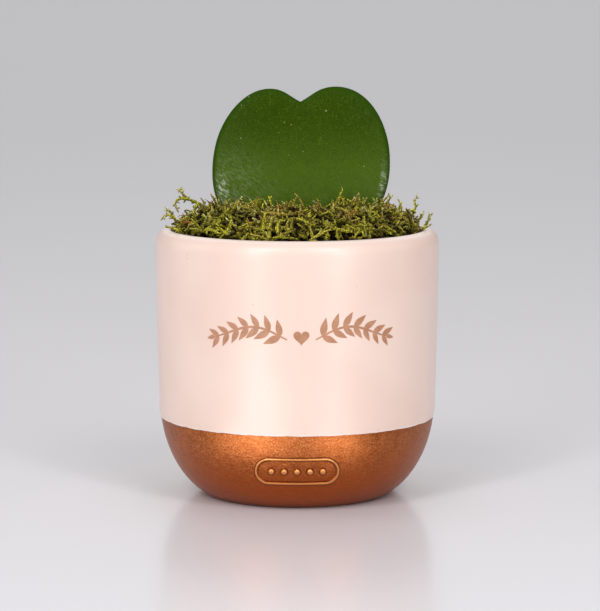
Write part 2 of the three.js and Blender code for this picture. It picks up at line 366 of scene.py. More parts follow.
def cells_at(tree, place, scale):
    """Round cells, this many in a metre: the outputs are the distance to the middle and a chance colour."""
    return add_node(tree, "ShaderNodeTexVoronoi", {"Vector": place, "Scale": scale}).outputs


def new_group(name, numbers, outputs):
    """An empty shader group with a Vector and these number inputs, and these outputs."""
    group = bpy.data.node_groups.new(name, "ShaderNodeTree")
    group.interface.new_socket("Vector", in_out="INPUT", socket_type="NodeSocketVector")
    for label, default in numbers.items():
        socket = group.interface.new_socket(label, in_out="INPUT", socket_type="NodeSocketFloat")
        socket.default_value = default
    for label in outputs:
        group.interface.new_socket(label, in_out="OUTPUT", socket_type="NodeSocketFloat")
    return group, group.nodes.new("NodeGroupInput").outputs, group.nodes.new("NodeGroupOutput").inputs


def grain_group():
    """Fine grain: two sizes of noise, as a height from 0 to 1."""
    name = "Fine Grain"
    if name in bpy.data.node_groups:
        return bpy.data.node_groups[name]
    group, given, out = new_group(name, {"Scale": 1000, "Coarse Share": 0.4}, ["Height"])
    fine = noise_at(group, given["Vector"], given["Scale"], roughness=0.6)
    coarse = noise_at(group, given["Vector"], times(group, given["Scale"], 0.22), detail=1.0)
    share = given["Coarse Share"]
    rest = maths(group, "SUBTRACT", 1.0, share)
    height = maths(group, "ADD", times(group, coarse, share), times(group, fine, rest))
    group.links.new(height, out["Height"])
    return group


def fleck_group():
    """Scattered round flecks: a mask that is 1 in the middle of each, and a chance number for each."""
    name = "Flecks"
    if name in bpy.data.node_groups:
        return bpy.data.node_groups[name]
    group, given, out = new_group(name, {"Scale": 400, "Size": 0.25, "Share": 0.1}, ["Mask", "Draw"])
    cells = cells_at(group, given["Vector"], given["Scale"])
    draw = add_node(group, "ShaderNodeSeparateColor", {"Color": cells["Color"]}).outputs
    near = maths(group, "LESS_THAN", cells["Distance"], times(group, given["Size"], draw[1]))
    chosen = maths(group, "LESS_THAN", draw[0], given["Share"])
    group.links.new(times(group, near, chosen), out["Mask"])
    group.links.new(draw[2], out["Draw"])
    return group


def use_group(tree, group, place, **numbers):
    """The outputs of a shader group placed in a tree, with its own values."""
    made = add_node(tree, "ShaderNodeGroup", node_tree=group)
    tree.links.new(place, made.inputs["Vector"])
    for key, value in numbers.items():
        made.inputs[key.replace("_", " ").title()].default_value = value
    return made.outputs


def grain_at(tree, place, scale, coarse_share):
    """The height of the fine grain."""
    return use_group(tree, grain_group(), place, scale=scale, coarse_share=coarse_share)["Height"]


def bump(tree, shader, height, distance, strength=1.0):
    """Feeds a height into the shader's normal. distance is the height's full range."""
    made = add_node(tree, "ShaderNodeBump", {"Strength": strength, "Distance": distance, "Height": height})
    tree.links.new(made.outputs["Normal"], shader.inputs["Normal"])


def feed(tree, shader, **sources):
    """Links varying outputs to the shader's inputs."""
    for key, source in sources.items():
        tree.links.new(source, shader.inputs[key.replace("_", " ").title()])


def settle(shader, values):
    """Sets the shader's inputs that are the same all over."""
    for key, value in values.items():
        shader.inputs[key].default_value = value


def glaze_material(pot):
    """Satin glaze with a barely seen grain, paler at the paint line and the lip, where it thins out and where
    a highlight is painted in.
    """
    material, tree, shader, place = new_material("Pink Glaze")
    grain = grain_at(tree, place, 1500, 0.5)
    clouds = rescale(tree, noise_at(tree, place, 28), 0.35, 0.65)
    specks = use_group(tree, fleck_group(), place, scale=420, size=0.16, share=0.10)["Mask"]
    speck_colour = (0.55, 0.36, 0.30)
    body = mix(tree, clouds, pot.glaze, tone(pot.glaze, 0.965, 0.93, 0.915))
    body = mix(tree, times(tree, grain, 0.16), body, tone(pot.glaze, 0.8))
    # Paler band along the paint line and on the lip: thinned glaze together with a painted highlight.
    body = mix(tree, painted(tree, "thinned_glaze_and_highlight"), body, pot.glaze_edge_highlight)
    body = mix(tree, times(tree, specks, 0.35), body, speck_colour)
    feed(tree, shader, base_color=body, roughness=rescale(tree, grain, 0.3, 0.7, 0.33, 0.41))
    settle(shader, {"Specular IOR Level": 0.5, "Coat Weight": 0.5, "Coat Roughness": 0.3})
    bump(tree, shader, grain, 0.035 * MM, 0.6)
    return material


def dip_material(pot):
    """Copper-coloured metallic paint: glitter, brushed round the pot, darker towards the bottom as painted
    shade, with a painted highlight on the oval's crests and painted shade round their foot.
    """
    material, tree, shader, place = new_material("Copper Dip")
    sparkle = grain_at(tree, place, 2100, 0.2)
    squeeze = add_node(tree, "ShaderNodeMapping", {"Vector": place, "Scale": (0.22, 0.22, 1.6)})
    strokes = noise_at(tree, squeeze.outputs["Vector"], 1100, 3.0, 0.7)
    clouds = noise_at(tree, place, 75, 3.0, 0.6)
    flakes = use_group(tree, fleck_group(), place, scale=2000, size=0.55, share=0.4)["Mask"]
    base = pot.dip
    dark = tone(base, 0.62, 0.50, 0.42)
    light = tone(base, 1.6, 1.9, 2.4)
    crest_highlight_colour = (0.95, 0.45, 0.15)
    body = mix(tree, rescale(tree, clouds, 0.32, 0.7), base, tone(base, 0.86))
    body = mix(tree, rescale(tree, strokes, 0.50, 0.72, 0, 0.40), body, dark)
    body = mix(tree, rescale(tree, strokes, 0.50, 0.30, 0, 0.35), body, light)
    body = mix(tree, times(tree, flakes, 0.5), body, light)
    body = mix(tree, rescale(tree, sparkle, 0.52, 0.62, 0, 0.75), body, light)
    body = mix(tree, rescale(tree, sparkle, 0.48, 0.36, 0, 0.75), body, dark)
    # Darker towards the bottom: painted shade, standing in for the dark floor that the lower bowl reflects.
    lower_shade = rescale(tree, height_of(tree, place), 5 * MM, 25 * MM, 0.75, 0.0)
    body = mix(tree, lower_shade, body, tone(base, 1.0, 0.72, 0.45))
    # Painted shade round the foot of the oval's ridge and beads.
    body = mix(tree, times(tree, painted(tree, "crevice_shade"), 0.6), body, tone(base, 0.3))
    # Painted highlight: pale gold on the crests of the ridge and beads.
    body = mix(tree, rescale(tree, painted(tree, "crest_highlight"), 0.72, 1.0, 0, 0.6), body, crest_highlight_colour)
    feed(tree, shader, base_color=body, roughness=rescale(tree, sparkle, 0.3, 0.7, 0.30, 0.46))
    settle(shader, {"Metallic": 0.95})
    bump(tree, shader, maths(tree, "ADD", sparkle, times(tree, strokes, 0.8)), 0.09 * MM)
    return material


def bare_clay_material():
    """Unglazed clay of the foot ring."""
    material, tree, shader, place = new_material("Bare Clay")
    grain = grain_at(tree, place, 1400, 0.4)
    pale, dark = (0.72, 0.60, 0.50), (0.55, 0.43, 0.34)
    feed(tree, shader, base_color=mix(tree, rescale(tree, grain, 0.35, 0.65), pale, dark))
    settle(shader, {"Roughness": 0.85})
    bump(tree, shader, grain, 0.08 * MM)
    return material


def paint_material(garland):
    """The garland's printed paint, a little uneven."""
    material, tree, shader, place = new_material("Garland Paint")
    grain = grain_at(tree, place, 1800, 0.5)
    thin = tone(garland.paint, 1.3, 1.45, 1.6)
    body = mix(tree, rescale(tree, grain, 0.3, 0.75), garland.paint, thin)
    feed(tree, shader, base_color=body, roughness=rescale(tree, grain, 0.3, 0.7, 0.40, 0.52))
    bump(tree, shader, grain, 0.02 * MM)
    return material


def leaf_material(leaf):
    """Thick, glossy leaf: mottled, flecked, paler and bluer low down as painted sheen, with painted whitish
    highlights in wrinkled streaks and painted shade along the margin.
    """
    material, tree, shader, place = new_material("Hoya Leaf")
    face, back = leaf.face, leaf.back
    pores = grain_at(tree, place, 2100, 0.15)
    clouds = rescale(tree, noise_at(tree, place, 70, 4.0, 0.6), 0.3, 0.7)
    slant = {"Vector": place, "Rotation": (0, 0.6, 0), "Scale": (3.0, 1.0, 1.0)}
    slanted = add_node(tree, "ShaderNodeMapping", slant, vector_type="TEXTURE").outputs["Vector"]
    streaks = noise_at(tree, slanted, 1500, 3.0, 0.65, 0.5)
    gloss_and_highlight = painted(tree, "gloss_and_highlight")
    # Streaky mask of the painted highlight, which also sets the glossy coat.
    highlight_streaks = times(tree, rescale(tree, streaks, 0.46, 0.62, 0.06, 1.0), gloss_and_highlight)
    flecks = use_group(tree, fleck_group(), place, scale=360, size=0.085, share=0.95)
    light_pores, pale_highlight = (0.085, 0.140, 0.012), (0.40, 0.46, 0.30)
    pale_fleck, straw_fleck = (0.55, 0.60, 0.42), (0.50, 0.42, 0.08)

    # Paler and much bluer low down: a painted sheen.
    low = maths(tree, "POWER", rescale(tree, height_of(tree, place), 106 * MM, 133 * MM, 0.95, 0.0), 1.9)
    body = mix(tree, clouds, face, tone(face, 1.22, 1.12, 1.3))
    body = mix(tree, low, body, tone(face, 2.75, 2.25, 11.0))
    body = mix(tree, rescale(tree, pores, 0.34, 0.52, 0.30, 0), body, tone(face, 0.6))
    body = mix(tree, rescale(tree, pores, 0.50, 0.68, 0, 0.45), body, light_pores)
    # Pale painted highlight in streaks along the lower margins.
    body = mix(tree, times(tree, highlight_streaks, 0.8), body, pale_highlight)
    # Painted shade: darker along the rounded margin.
    margin = rescale(tree, painted(tree, "margin"), 0.93, 0.99, 0, 0.85)
    body = mix(tree, margin, body, tone(face, 0.75, 1.05, 0.6))
    fleck_colour = mix(tree, flecks["Draw"], pale_fleck, straw_fleck)
    body = mix(tree, times(tree, flecks["Mask"], 0.7), body, fleck_colour)

    underside = mix(tree, clouds, back, tone(back, 1.25))
    underside = mix(tree, rescale(tree, pores, 0.34, 0.52, 0.35, 0), underside, tone(back, 0.7))
    underside = mix(tree, times(tree, painted(tree, "rib"), 0.55), underside, tone(back, 1.8))
    body = mix(tree, painted(tree, "behind"), body, underside)

    rough = rescale(tree, streaks, 0.35, 0.75, 0.48, 0.34)
    feed(tree, shader, base_color=body, roughness=rough, coat_weight=times(tree, highlight_streaks, 0.9))
    settle(shader, {"Coat Roughness": 0.30, "Specular IOR Level": 0.03})
    settle(shader, {"Subsurface Weight": 0.06, "Subsurface Scale": 1.0 * MM})
    settle(shader, {"Subsurface Radius": (0.4, 0.8, 0.15)})
    wrinkled = times(tree, streaks, maths(tree, "ADD", gloss_and_highlight, 0.10))
    bump(tree, shader, maths(tree, "ADD", times(tree, pores, 0.12), wrinkled), 0.30 * MM, 0.8)
    return material


def moss_material(moss):
    """Knobbly moss sprigs: each has its own tint, from green to brown, with pale tips, a painted highlight on
    each knob, painted shade between the knobs and painted shade in the depths.
    """
    material, tree, shader, place = new_material("Moss")
    green, brown, pale = Vector(moss.green), Vector(moss.brown), Vector(moss.tip)
    olive = Vector((0.74, 0.62, 0.10))
    stops = [
        (0.0, green * 0.6),
        (0.3, green),
        (0.55, green.lerp(olive, 0.7)),
        (0.8, green.lerp(brown, 0.6)),
        (1.0, brown),
    ]
    ramp = add_node(tree, "ShaderNodeValToRGB", {"Fac": painted(tree, "tint")})
    while len(ramp.color_ramp.elements) < len(stops):
        ramp.color_ramp.elements.new(0.5)
    for element, (position, shade) in zip(ramp.color_ramp.elements, stops):
        element.position = position
        element.color = (*shade, 1)
    knobs = cells_at(tree, place, 2100.0)["Distance"]
    body = mix(tree, rescale(tree, painted(tree, "tip"), 0.45, 0.95, 0, 0.8), ramp.outputs["Color"], pale)
    # Painted highlight: a pale spot on top of each knob.
    body = mix(tree, rescale(tree, knobs, 0.10, 0.28, 0.75, 0.0), body, green.lerp(pale, 0.75))
    # Painted shade: dark between the knobs.
    body = mix(tree, rescale(tree, knobs, 0.36, 0.58, 0.0, 0.75), body, green.lerp(brown, 0.6) * 0.08)
    body = mix(tree, painted(tree, "dull"), body, green.lerp(brown, 0.5) * 0.12)
    # Painted shade deep in the tangle and on what faces down.
    body = mix(tree, times(tree, painted(tree, "depth_shade"), 0.97), body, brown * 0.03)
    feed(tree, shader, base_color=body)
    settle(shader, {"Roughness": 0.42, "Specular IOR Level": 0.10})
    bump(tree, shader, maths(tree, "SUBTRACT", 1.0, knobs), 0.30 * MM)
    return material


def bed_material(moss):
    """The tangle under the sprigs, coloured near black as painted shade."""
    material, tree, shader, place = new_material("Moss Bed")
    threads = noise_at(tree, place, 800, 4.0, 0.7, 1.5)
    # Near-black colours: painted shade under the sprigs.
    dark, light = tone(moss.brown, 0.05), tone(moss.green, 0.10)
    feed(tree, shader, base_color=mix(tree, rescale(tree, threads, 0.35, 0.7), dark, light))
    settle(shader, {"Roughness": 0.95, "Specular IOR Level": 0.1})
    bump(tree, shader, threads, 1.2 * MM)
    return material


def dry_bit_material():
    """Shed scraps of bark and leaf, orange to brown."""
    material, tree, shader, place = new_material("Dry Bits")
    grain = grain_at(tree, place, 1500, 0.5)
    orange, brown, dark = (0.55, 0.13, 0.02), (0.42, 0.22, 0.08), (0.10, 0.035, 0.015)
    body = mix(tree, painted(tree, "tint"), orange, brown)
    feed(tree, shader, base_color=mix(tree, rescale(tree, grain, 0.4, 0.65, 0.5, 0), body, dark))
    settle(shader, {"Roughness": 0.7, "Specular IOR Level": 0.15})
    bump(tree, shader, grain, 0.2 * MM)
    return material


def soil_material():
    """Damp potting soil: dark crumbs."""
    material, tree, shader, place = new_material("Potting Soil")
    crumbs = cells_at(tree, place, 520.0)["Distance"]
    grain = grain_at(tree, place, 900, 0.5)
    dark, light = (0.012, 0.007, 0.004), (0.060, 0.034, 0.018)
    feed(tree, shader, base_color=mix(tree, rescale(tree, grain, 0.35, 0.68), dark, light))
    settle(shader, {"Roughness": 0.95})
    bump(tree, shader, maths(tree, "ADD", crumbs, grain), 0.8 * MM)
    return material


# ---- Pot ----

LIP_WIDTH = 4.2 * MM  # outer rounding of the lip, across
LIP_DROP = 4.8 * MM  # and down
LIP_INNER = 1.0 * MM  # inner rounding of the lip
SKIN = 2 * MM  # what lies this far outside the inner wall is the outer skin
FRONT = -25 * MM  # the pot's front lies beyond this
FOOT_RING_WIDTH = 6.5 * MM
FOOT_RECESS = 1.5 * MM
POT_STEPS = 256
FRAY_BROAD = 0.14 * MM  # waves of the glaze's lower edge
FRAY_FINE = 0.10 * MM

OVAL_HEIGHT = 14.3 * MM  # centre height of the raised oval on the dip
OVAL_LENGTH = 27 * MM
OVAL_WIDTH = 8.6 * MM
OVAL_RIDGE = 0.55 * MM  # half width of the raised line
OVAL_RISE = 0.55 * MM
OVAL_SHADE = 0.55 * MM  # how far the painted shade round its foot reaches
BEAD_COUNT = 5
BEAD_RADIUS = 1.15 * MM
BEAD_PITCH = 4.2 * MM


def outer_radius(z):
    """Outside radius of the pot at a height: the bowl's ellipse, then a wall that widens a little."""
    pot = bpy.context.scene.hoya_pot
    if z < pot.bowl_top:
        foot_share = math.sqrt(1 - (pot.bowl_top / pot.bowl_depth) ** 2)
        half_axis = (pot.bowl_radius - pot.foot_radius) / (1 - foot_share)
        share = math.sqrt(1 - ((pot.bowl_top - z) / pot.bowl_depth) ** 2)
        return pot.bowl_radius - half_axis * (1 - share)
    t = min(1, (z - pot.bowl_top) / (POT_HEIGHT - LIP_DROP - pot.bowl_top))
    return pot.bowl_radius + (POT_RADIUS - pot.bowl_radius) * (1 - (1 - t) ** 1.5)


def inner_radius(z):
    """Inside radius of the pot at a height."""
    pot = bpy.context.scene.hoya_pot
    return outer_radius(z - pot.floor / 2) - pot.wall


def is_skin(place, pot):
    """True on the pot's outer skin, and false on its inner wall, foot ring and recess."""
    radius = math.hypot(place.x, place.y)
    if place.z < pot.floor:
        return radius > pot.foot_radius - MM
    return radius > inner_radius(place.z) + SKIN


def along(radius_at, low, high, steps, inset=0.0):
    """Points of a profile from one height to another."""
    return [(radius_at(z) - inset, z) for z in steps_between(low, high, steps)]


def corner(radius, z, across, down, start, end, steps):
    """Points of a profile round a quarter ellipse."""
    turns = steps_between(start, end, steps)
    return [(radius + across * math.cos(t), z + down * math.sin(t)) for t in turns]


def pot_profile(pot):
    """The pot's section: recess, foot ring, dip, glaze, lip, inside wall and floor."""
    inside = POT_RADIUS - pot.wall
    inner_lip = POT_HEIGHT - LIP_INNER
    ring_inside = pot.foot_radius - FOOT_RING_WIDTH
    foot = pot.foot_radius - pot.glaze_step - 0.5 * MM
    step = pot.glaze_step
    line = pot.paint_line
    return [
        (0, FOOT_RECESS),
        (ring_inside - FOOT_RECESS - 0.6 * MM, FOOT_RECESS),
        (ring_inside - FOOT_RECESS + 0.2 * MM, FOOT_RECESS * 0.8),
        (ring_inside - 0.4 * MM, 0.15 * MM),
        (ring_inside, 0),
        (ring_inside + FOOT_RING_WIDTH / 2, 0),
        (foot - 0.4 * MM, 0),
        (foot, 0.1 * MM),
        *along(outer_radius, 0.5 * MM, 20.0 * MM, 34, step),
        *along(outer_radius, 20.4 * MM, line - 0.5 * MM, 11, step)[:-1],
        *along(outer_radius, line - 0.5 * MM, line, 3, step),
        (outer_radius(line) - 0.45 * step, line + 0.02 * MM),
        (outer_radius(line) - 0.10 * step, line + 0.13 * MM),
        (outer_radius(line) + 0.10 * step, line + 0.35 * MM),
        (outer_radius(line) + 0.05 * step, line + 0.7 * MM),
        *along(outer_radius, line + 1.3 * MM, pot.bowl_top, 8),
        *along(outer_radius, pot.bowl_top, POT_HEIGHT - LIP_DROP, 36)[1:-1],
        *corner(POT_RADIUS - LIP_WIDTH, POT_HEIGHT - LIP_DROP, LIP_WIDTH, LIP_DROP, 0, math.pi / 2, 16),
        *corner(inside + LIP_INNER, inner_lip, LIP_INNER, LIP_INNER, math.pi / 2, math.pi, 6)[1:],
        *along(inner_radius, inner_lip, pot.bowl_top, 8)[1:],
        *along(inner_radius, pot.bowl_top, pot.floor, 8)[1:],
        (0, pot.floor),
    ]


def oval_relief(across, up):
    """How far the raised oval and its beads stand out at a place on the bowl, and how near they are."""
    straight = (OVAL_LENGTH - OVAL_WIDTH) / 2
    to_line = abs(math.hypot(max(0, abs(across) - straight), up) - OVAL_WIDTH / 2)
    ridge = OVAL_RISE * math.sqrt(max(0, 1 - (to_line / OVAL_RIDGE) ** 2))
    nearest = round(across / BEAD_PITCH)
    nearest = max(-(BEAD_COUNT // 2), min(BEAD_COUNT // 2, nearest))
    to_bead = math.hypot(across - nearest * BEAD_PITCH, up) / BEAD_RADIUS
    bead = 0.85 * BEAD_RADIUS * math.sqrt(1 - to_bead**2) if to_bead < 1 else 0
    away = min(to_line - OVAL_RIDGE, (to_bead - 1) * BEAD_RADIUS)
    return max(ridge, bead), 1 - fade(away, 0, OVAL_SHADE)


def round_front(across, z, radius):
    """A point by its distance round the pot from the front, its height and its radius."""
    return Vector((radius * math.sin(across / radius), -radius * math.cos(across / radius), z))


class HOYA_OT_build_pot(bpy.types.Operator):
    """Spin the pot, raise the oval on its dip and finish its glaze"""

    bl_idname = "hoya.build_pot"
    bl_label = "Build Pot"

    def execute(self, context):
        pot = context.scene.hoya_pot
        piece = spin_profile("glazed_pot", pot_profile(pot), POT_STEPS)
        self.refine_front(piece)
        self.shape(piece, pot)
        smooth(piece, 50)
        self.finish(piece, pot)
        self.wear(piece, pot)
        hand_over(piece, "pot_glaze", "pot")
        return {"FINISHED"}

    def refine_front(self, piece):
        """Smaller faces where the oval will stand."""
        reach = OVAL_LENGTH / 2 + 2 * MM
        band = OVAL_WIDTH / 2 + 1.6 * MM

        def in_oval(place):
            """True where the oval and its ridge will be."""
            return place.y < FRONT and abs(place.x) < reach and abs(place.z - OVAL_HEIGHT) < band

        edit(piece, lambda: select_faces(piece, in_oval), lambda: bpy.ops.mesh.subdivide(number_cuts=4))

    def shape(self, piece, pot):
        """Raises the oval and frays the lower edge of the glaze."""
        reach = OVAL_LENGTH / 2 + OVAL_RIDGE
        band = OVAL_WIDTH / 2 + OVAL_RIDGE
        for vertex in piece.data.vertices:
            place = vertex.co
            if not is_skin(place, pot):
                continue
            angle = math.atan2(place.x, -place.y)
            skin = outer_radius(place.z) - pot.glaze_step
            if abs(place.z - OVAL_HEIGHT) < band and abs(angle * skin) < reach:
                relief, _ = oval_relief(angle * skin, place.z - OVAL_HEIGHT)
                grown = (skin + relief) / math.hypot(place.x, place.y)
                vertex.co = Vector((place.x * grown, place.y * grown, place.z))
            near_line = 1 - fade(abs(place.z - pot.paint_line), 0.4 * MM, 1.6 * MM)
            if near_line > 0:
                circle = Vector((math.cos(angle), math.sin(angle), 0))
                fray = noise.noise(circle * 9) * FRAY_BROAD + noise.noise(circle * 60) * FRAY_FINE
                vertex.co.z += fray * near_line

    def finish(self, piece, pot):
        """Glaze above the paint line, metallic paint below and bare clay under the foot."""
        dress(piece, glaze_material(pot), dip_material(pot), bare_clay_material())
        glaze, dip, clay = range(3)
        line = pot.paint_line + 0.03 * MM
        line_radius = outer_radius(pot.paint_line) - 0.6 * pot.glaze_step
        for face in piece.data.polygons:
            z, radius = face.center.z, math.hypot(face.center.x, face.center.y)
            on_edge = radius < line_radius and z < line + MM
            in_recess = radius < pot.foot_radius - MM and z < FOOT_RECESS + 0.1 * MM
            face.material_index = glaze
            if z < 0.01 * MM or in_recess:
                face.material_index = clay
            elif is_skin(face.center, pot) and (z < line - 0.5 * MM or on_edge):
                face.material_index = dip

    def wear(self, piece, pot):
        """Where the glaze thins out and takes a painted highlight, where the oval's crests take a painted
        highlight and where painted shade lies round its foot.
        """
        thin, crest_highlight, crevice_shade = [], [], []
        for vertex in piece.data.vertices:
            x, y, z = vertex.co
            # A pale band just above the paint line and on the lip, for thinned glaze and a painted highlight.
            edge = 1 - fade(z - pot.paint_line, 0.10 * MM, 0.45 * MM)
            lip = 0.35 * fade(z, POT_HEIGHT - 1.2 * MM, POT_HEIGHT)
            thin.append(max(edge, lip))
            front = y < FRONT and z < pot.paint_line
            across = math.atan2(x, -y) * (outer_radius(z) - pot.glaze_step) if front else OVAL_LENGTH
            relief, near = oval_relief(across, z - OVAL_HEIGHT)
            # Painted highlight on the crests and painted shade round their foot, for the material to read.
            crest_highlight.append(min(1, relief / OVAL_RISE))
            crevice_shade.append(near * (1 - crest_highlight[-1]))
        paint_values(piece, "thinned_glaze_and_highlight", thin)
        paint_values(piece, "crest_highlight", crest_highlight)
        paint_values(piece, "crevice_shade", crevice_shade)


# ---- Garland ----

PRINT_LIFT = 0.03 * MM  # how far the paint stands off the glaze
PRINT_DEPTH = 0.05 * MM
GARLAND_SHIFT = 1.4 * MM  # how far the garland's middle is from the pot's
HEART_WIDTH = 2.6 * MM  # from its middle to its side
STEM_START = 4.6 * MM  # from the garland's middle to each spray
STEM_WAVE = 3.0 * MM
LEAF_PAIRS = 7


def flat_leaf(name, base, heading, size, wide):
    """A flat pointed leaf in the XZ plane. wide is its half width as a share of its size."""
    side = Vector((-heading.z, 0, heading.x))
    half = [(t, wide * math.sin(math.pi * t**0.8) * (1 - 0.25 * t)) for t in steps_between(0, 1, 9)]
    left = [base + heading * size * t + side * size * w for t, w in half]
    right = [base + heading * size * t - side * size * w for t, w in half[-2:0:-1]]
    return fill_outline(name, left + right)


def flat_ribbon(name, points, widths):
    """A flat ribbon in the XZ plane that swells and thins along its way."""
    left, right = [], []
    for i, point in enumerate(points):
        heading = (points[min(i + 1, len(points) - 1)] - points[max(i - 1, 0)]).normalized()
        side = Vector((-heading.z, 0, heading.x)) * widths[i] / 2
        left.append(point + side)
        right.append(point - side)
    return fill_outline(name, left + right[::-1])


class HOYA_OT_paint_garland(bpy.types.Operator):
    """Draw the garland flat, wrap it round the wall and give it the thickness of paint"""

    bl_idname = "hoya.paint_garland"
    bl_label = "Paint Garland"

    def execute(self, context):
        garland = context.scene.hoya_garland
        parts = [self.heart()]
        for side in (-1, 1):
            parts += self.spray(side, garland.half_width)
        pick(*parts)
        bpy.ops.object.join()
        piece = context.object
        piece.name = "painted_garland"
        self.face_front(piece)
        self.wrap(piece, garland.height)
        add_modifier(piece, "SOLIDIFY", thickness=PRINT_DEPTH, offset=1.0)
        smooth(piece, 40)
        dress(piece, paint_material(garland))
        hand_over(piece, "pot_glaze")
        return {"FINISHED"}

    def heart(self):
        """A small heart between the two sprays."""
        outline = []
        for t in steps_between(0, math.tau, 28)[:-1]:
            across = 16 * math.sin(t) ** 3
            up = 13 * math.cos(t) - 5 * math.cos(2 * t) - 2 * math.cos(3 * t) - math.cos(4 * t)
            outline.append(Vector((across, 0, up)) * HEART_WIDTH / 16)
        return fill_outline("garland_heart", outline)

    def spray(self, side, reach):
        """A waving stem with pairs of leaves that shrink outwards, and one leaf on its end."""

        def stem_at(t):
            """A point of the stem, from 0 at its start to 1 at its end."""
            across = STEM_START + (reach - 2.5 * MM - STEM_START) * t
            up = STEM_WAVE * math.sin(t * 4.4 - 0.5) * (1 - 0.35 * t) + 0.6 * MM
            return Vector((side * across, 0, up))

        shares = steps_between(0, 1, 22)
        widths = [(0.35 + 0.45 * math.sin(math.pi * t)) * MM for t in shares]
        parts = [flat_ribbon("garland_stem", [stem_at(t) for t in shares], widths)]
        for i in range(LEAF_PAIRS):
            t = (i + 0.6) / LEAF_PAIRS
            heading = (stem_at(t + 0.02) - stem_at(t - 0.02)).normalized()
            for turn in (-1, 1):
                lean = Matrix.Rotation(turn * math.radians(52 - 10 * t), 3, "Y")
                size = (6.4 - 1.5 * t - (0.6 if turn > 0 else 0)) * MM
                parts.append(flat_leaf("garland_leaf", stem_at(t), lean @ heading, size, 0.21))
        heading = (stem_at(1.0) - stem_at(0.96)).normalized()
        parts.append(flat_leaf("garland_leaf", stem_at(1.0), heading, 3.4 * MM, 0.22))
        return parts

    def face_front(self, piece):
        """Makes triangles of the faces and turns them to the front."""
        edit(piece, bpy.ops.mesh.quads_convert_to_tris, face_outwards)
        if sum(face.normal.y for face in piece.data.polygons) >= 0:
            edit(piece, bpy.ops.mesh.flip_normals)

    def wrap(self, piece, height):
        """From the flat drawing to the wall."""
        for vertex in piece.data.vertices:
            z = height + vertex.co.z
            vertex.co = round_front(vertex.co.x + GARLAND_SHIFT, z, outer_radius(z) + PRINT_LIFT)


# ---- Soil ----


class HOYA_OT_dress_soil(bpy.types.Operator):
    """Give the packed soil its crumbly finish"""

    bl_idname = "hoya.dress_soil"
    bl_label = "Dress Soil"

    def execute(self, context):
        finish = soil_material()
        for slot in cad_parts["soil"].material_slots:
            slot.material = finish
        return {"FINISHED"}


# ---- Leaf ----

LEAF_BASE = Vector((2.9, 1.2, 75.7)) * MM
LEAF_ROLL = math.radians(-1.84)
LEAF_LEAN = math.radians(-2.5)
LEAF_TURN = Matrix.Rotation(LEAF_LEAN, 3, "X") @ Matrix.Rotation(LEAF_ROLL, 3, "Y")
LEAF_RINGS = 26
LEAF_SKEW = 0.017  # how much wider the left half is than the right, at mid height
LEAF_SLIM = 0.112  # how much of that it loses at the top
LEAF_FULL = 0.057  # and gains at the bottom
SWELL = 0.3  # power of the curve from the margin to the leaf's full thickness
RIB_WIDTH = 1.3 * MM  # rib behind the leaf
RIB_HEIGHT = 0.45 * MM
FOLD_WIDTH = 2.2 * MM  # fold in front, under the notch
FOLD_DEPTH = 0.30 * MM
HOLLOW_DEPTH = 0.16 * MM
WRINKLE_DEPTH = 0.03 * MM
STALK_LENGTH = 17 * MM
STALK_TOP_RADIUS = 1.3 * MM
STALK_RADIUS = 1.7 * MM


def leaf_outline(leaf):
    """Half of the heart's outline in its own plane, from the base over the widest place to the notch."""
    widest = Vector((leaf.half_width, 0, leaf.widest))
    lobe = Vector((leaf.lobe, 0, leaf.tall))
    notch = Vector((0, 0, leaf.notch))
    top = leaf.tall / MM
    spans = [
        (Vector(), (17, 10), (29.6, 16.8), widest, 44),
        (widest, (29.7, 47.4), (23.5, top), lobe, 36),
        (lobe, (6.1, top), (3.9, 58.1), notch, 16),
    ]
    outline = []
    for start, first, second, end, steps in spans:
        handles = [Vector((across, 0, up)) * MM for across, up in (first, second)]
        outline += geometry.interpolate_bezier(start, *handles, end, steps + 1)[:-1]
    return outline + [notch]


def leaf_skew(across, up):
    """How many times its plain width each half has, by a place across and its share of the height."""
    if across > 0:
        return 1
    high = max(0, up - 0.55) / 0.45
    return 1 + LEAF_SKEW - LEAF_SLIM * high * high + LEAF_FULL * (1 - fade(up, 0.3, 0.7))


def leaf_bend(leaf, place):
    """How far a place in the leaf's own plane is bent back."""
    side = place.x / leaf.half_width
    top = max(0, place.z / leaf.tall - 0.5)
    return leaf.cup * side * side + 1.5 * leaf.cup * top * top


def set_leaf(leaf, place):
    """From the leaf's own plane to the pot."""
    bent = place + Vector((0, leaf_bend(leaf, place), 0))
    return LEAF_TURN @ bent + LEAF_BASE


def unset_leaf(leaf, place):
    """From the pot to the leaf's own plane."""
    flat = LEAF_TURN.transposed() @ (place - LEAF_BASE)
    return flat - Vector((0, leaf_bend(leaf, flat), 0))


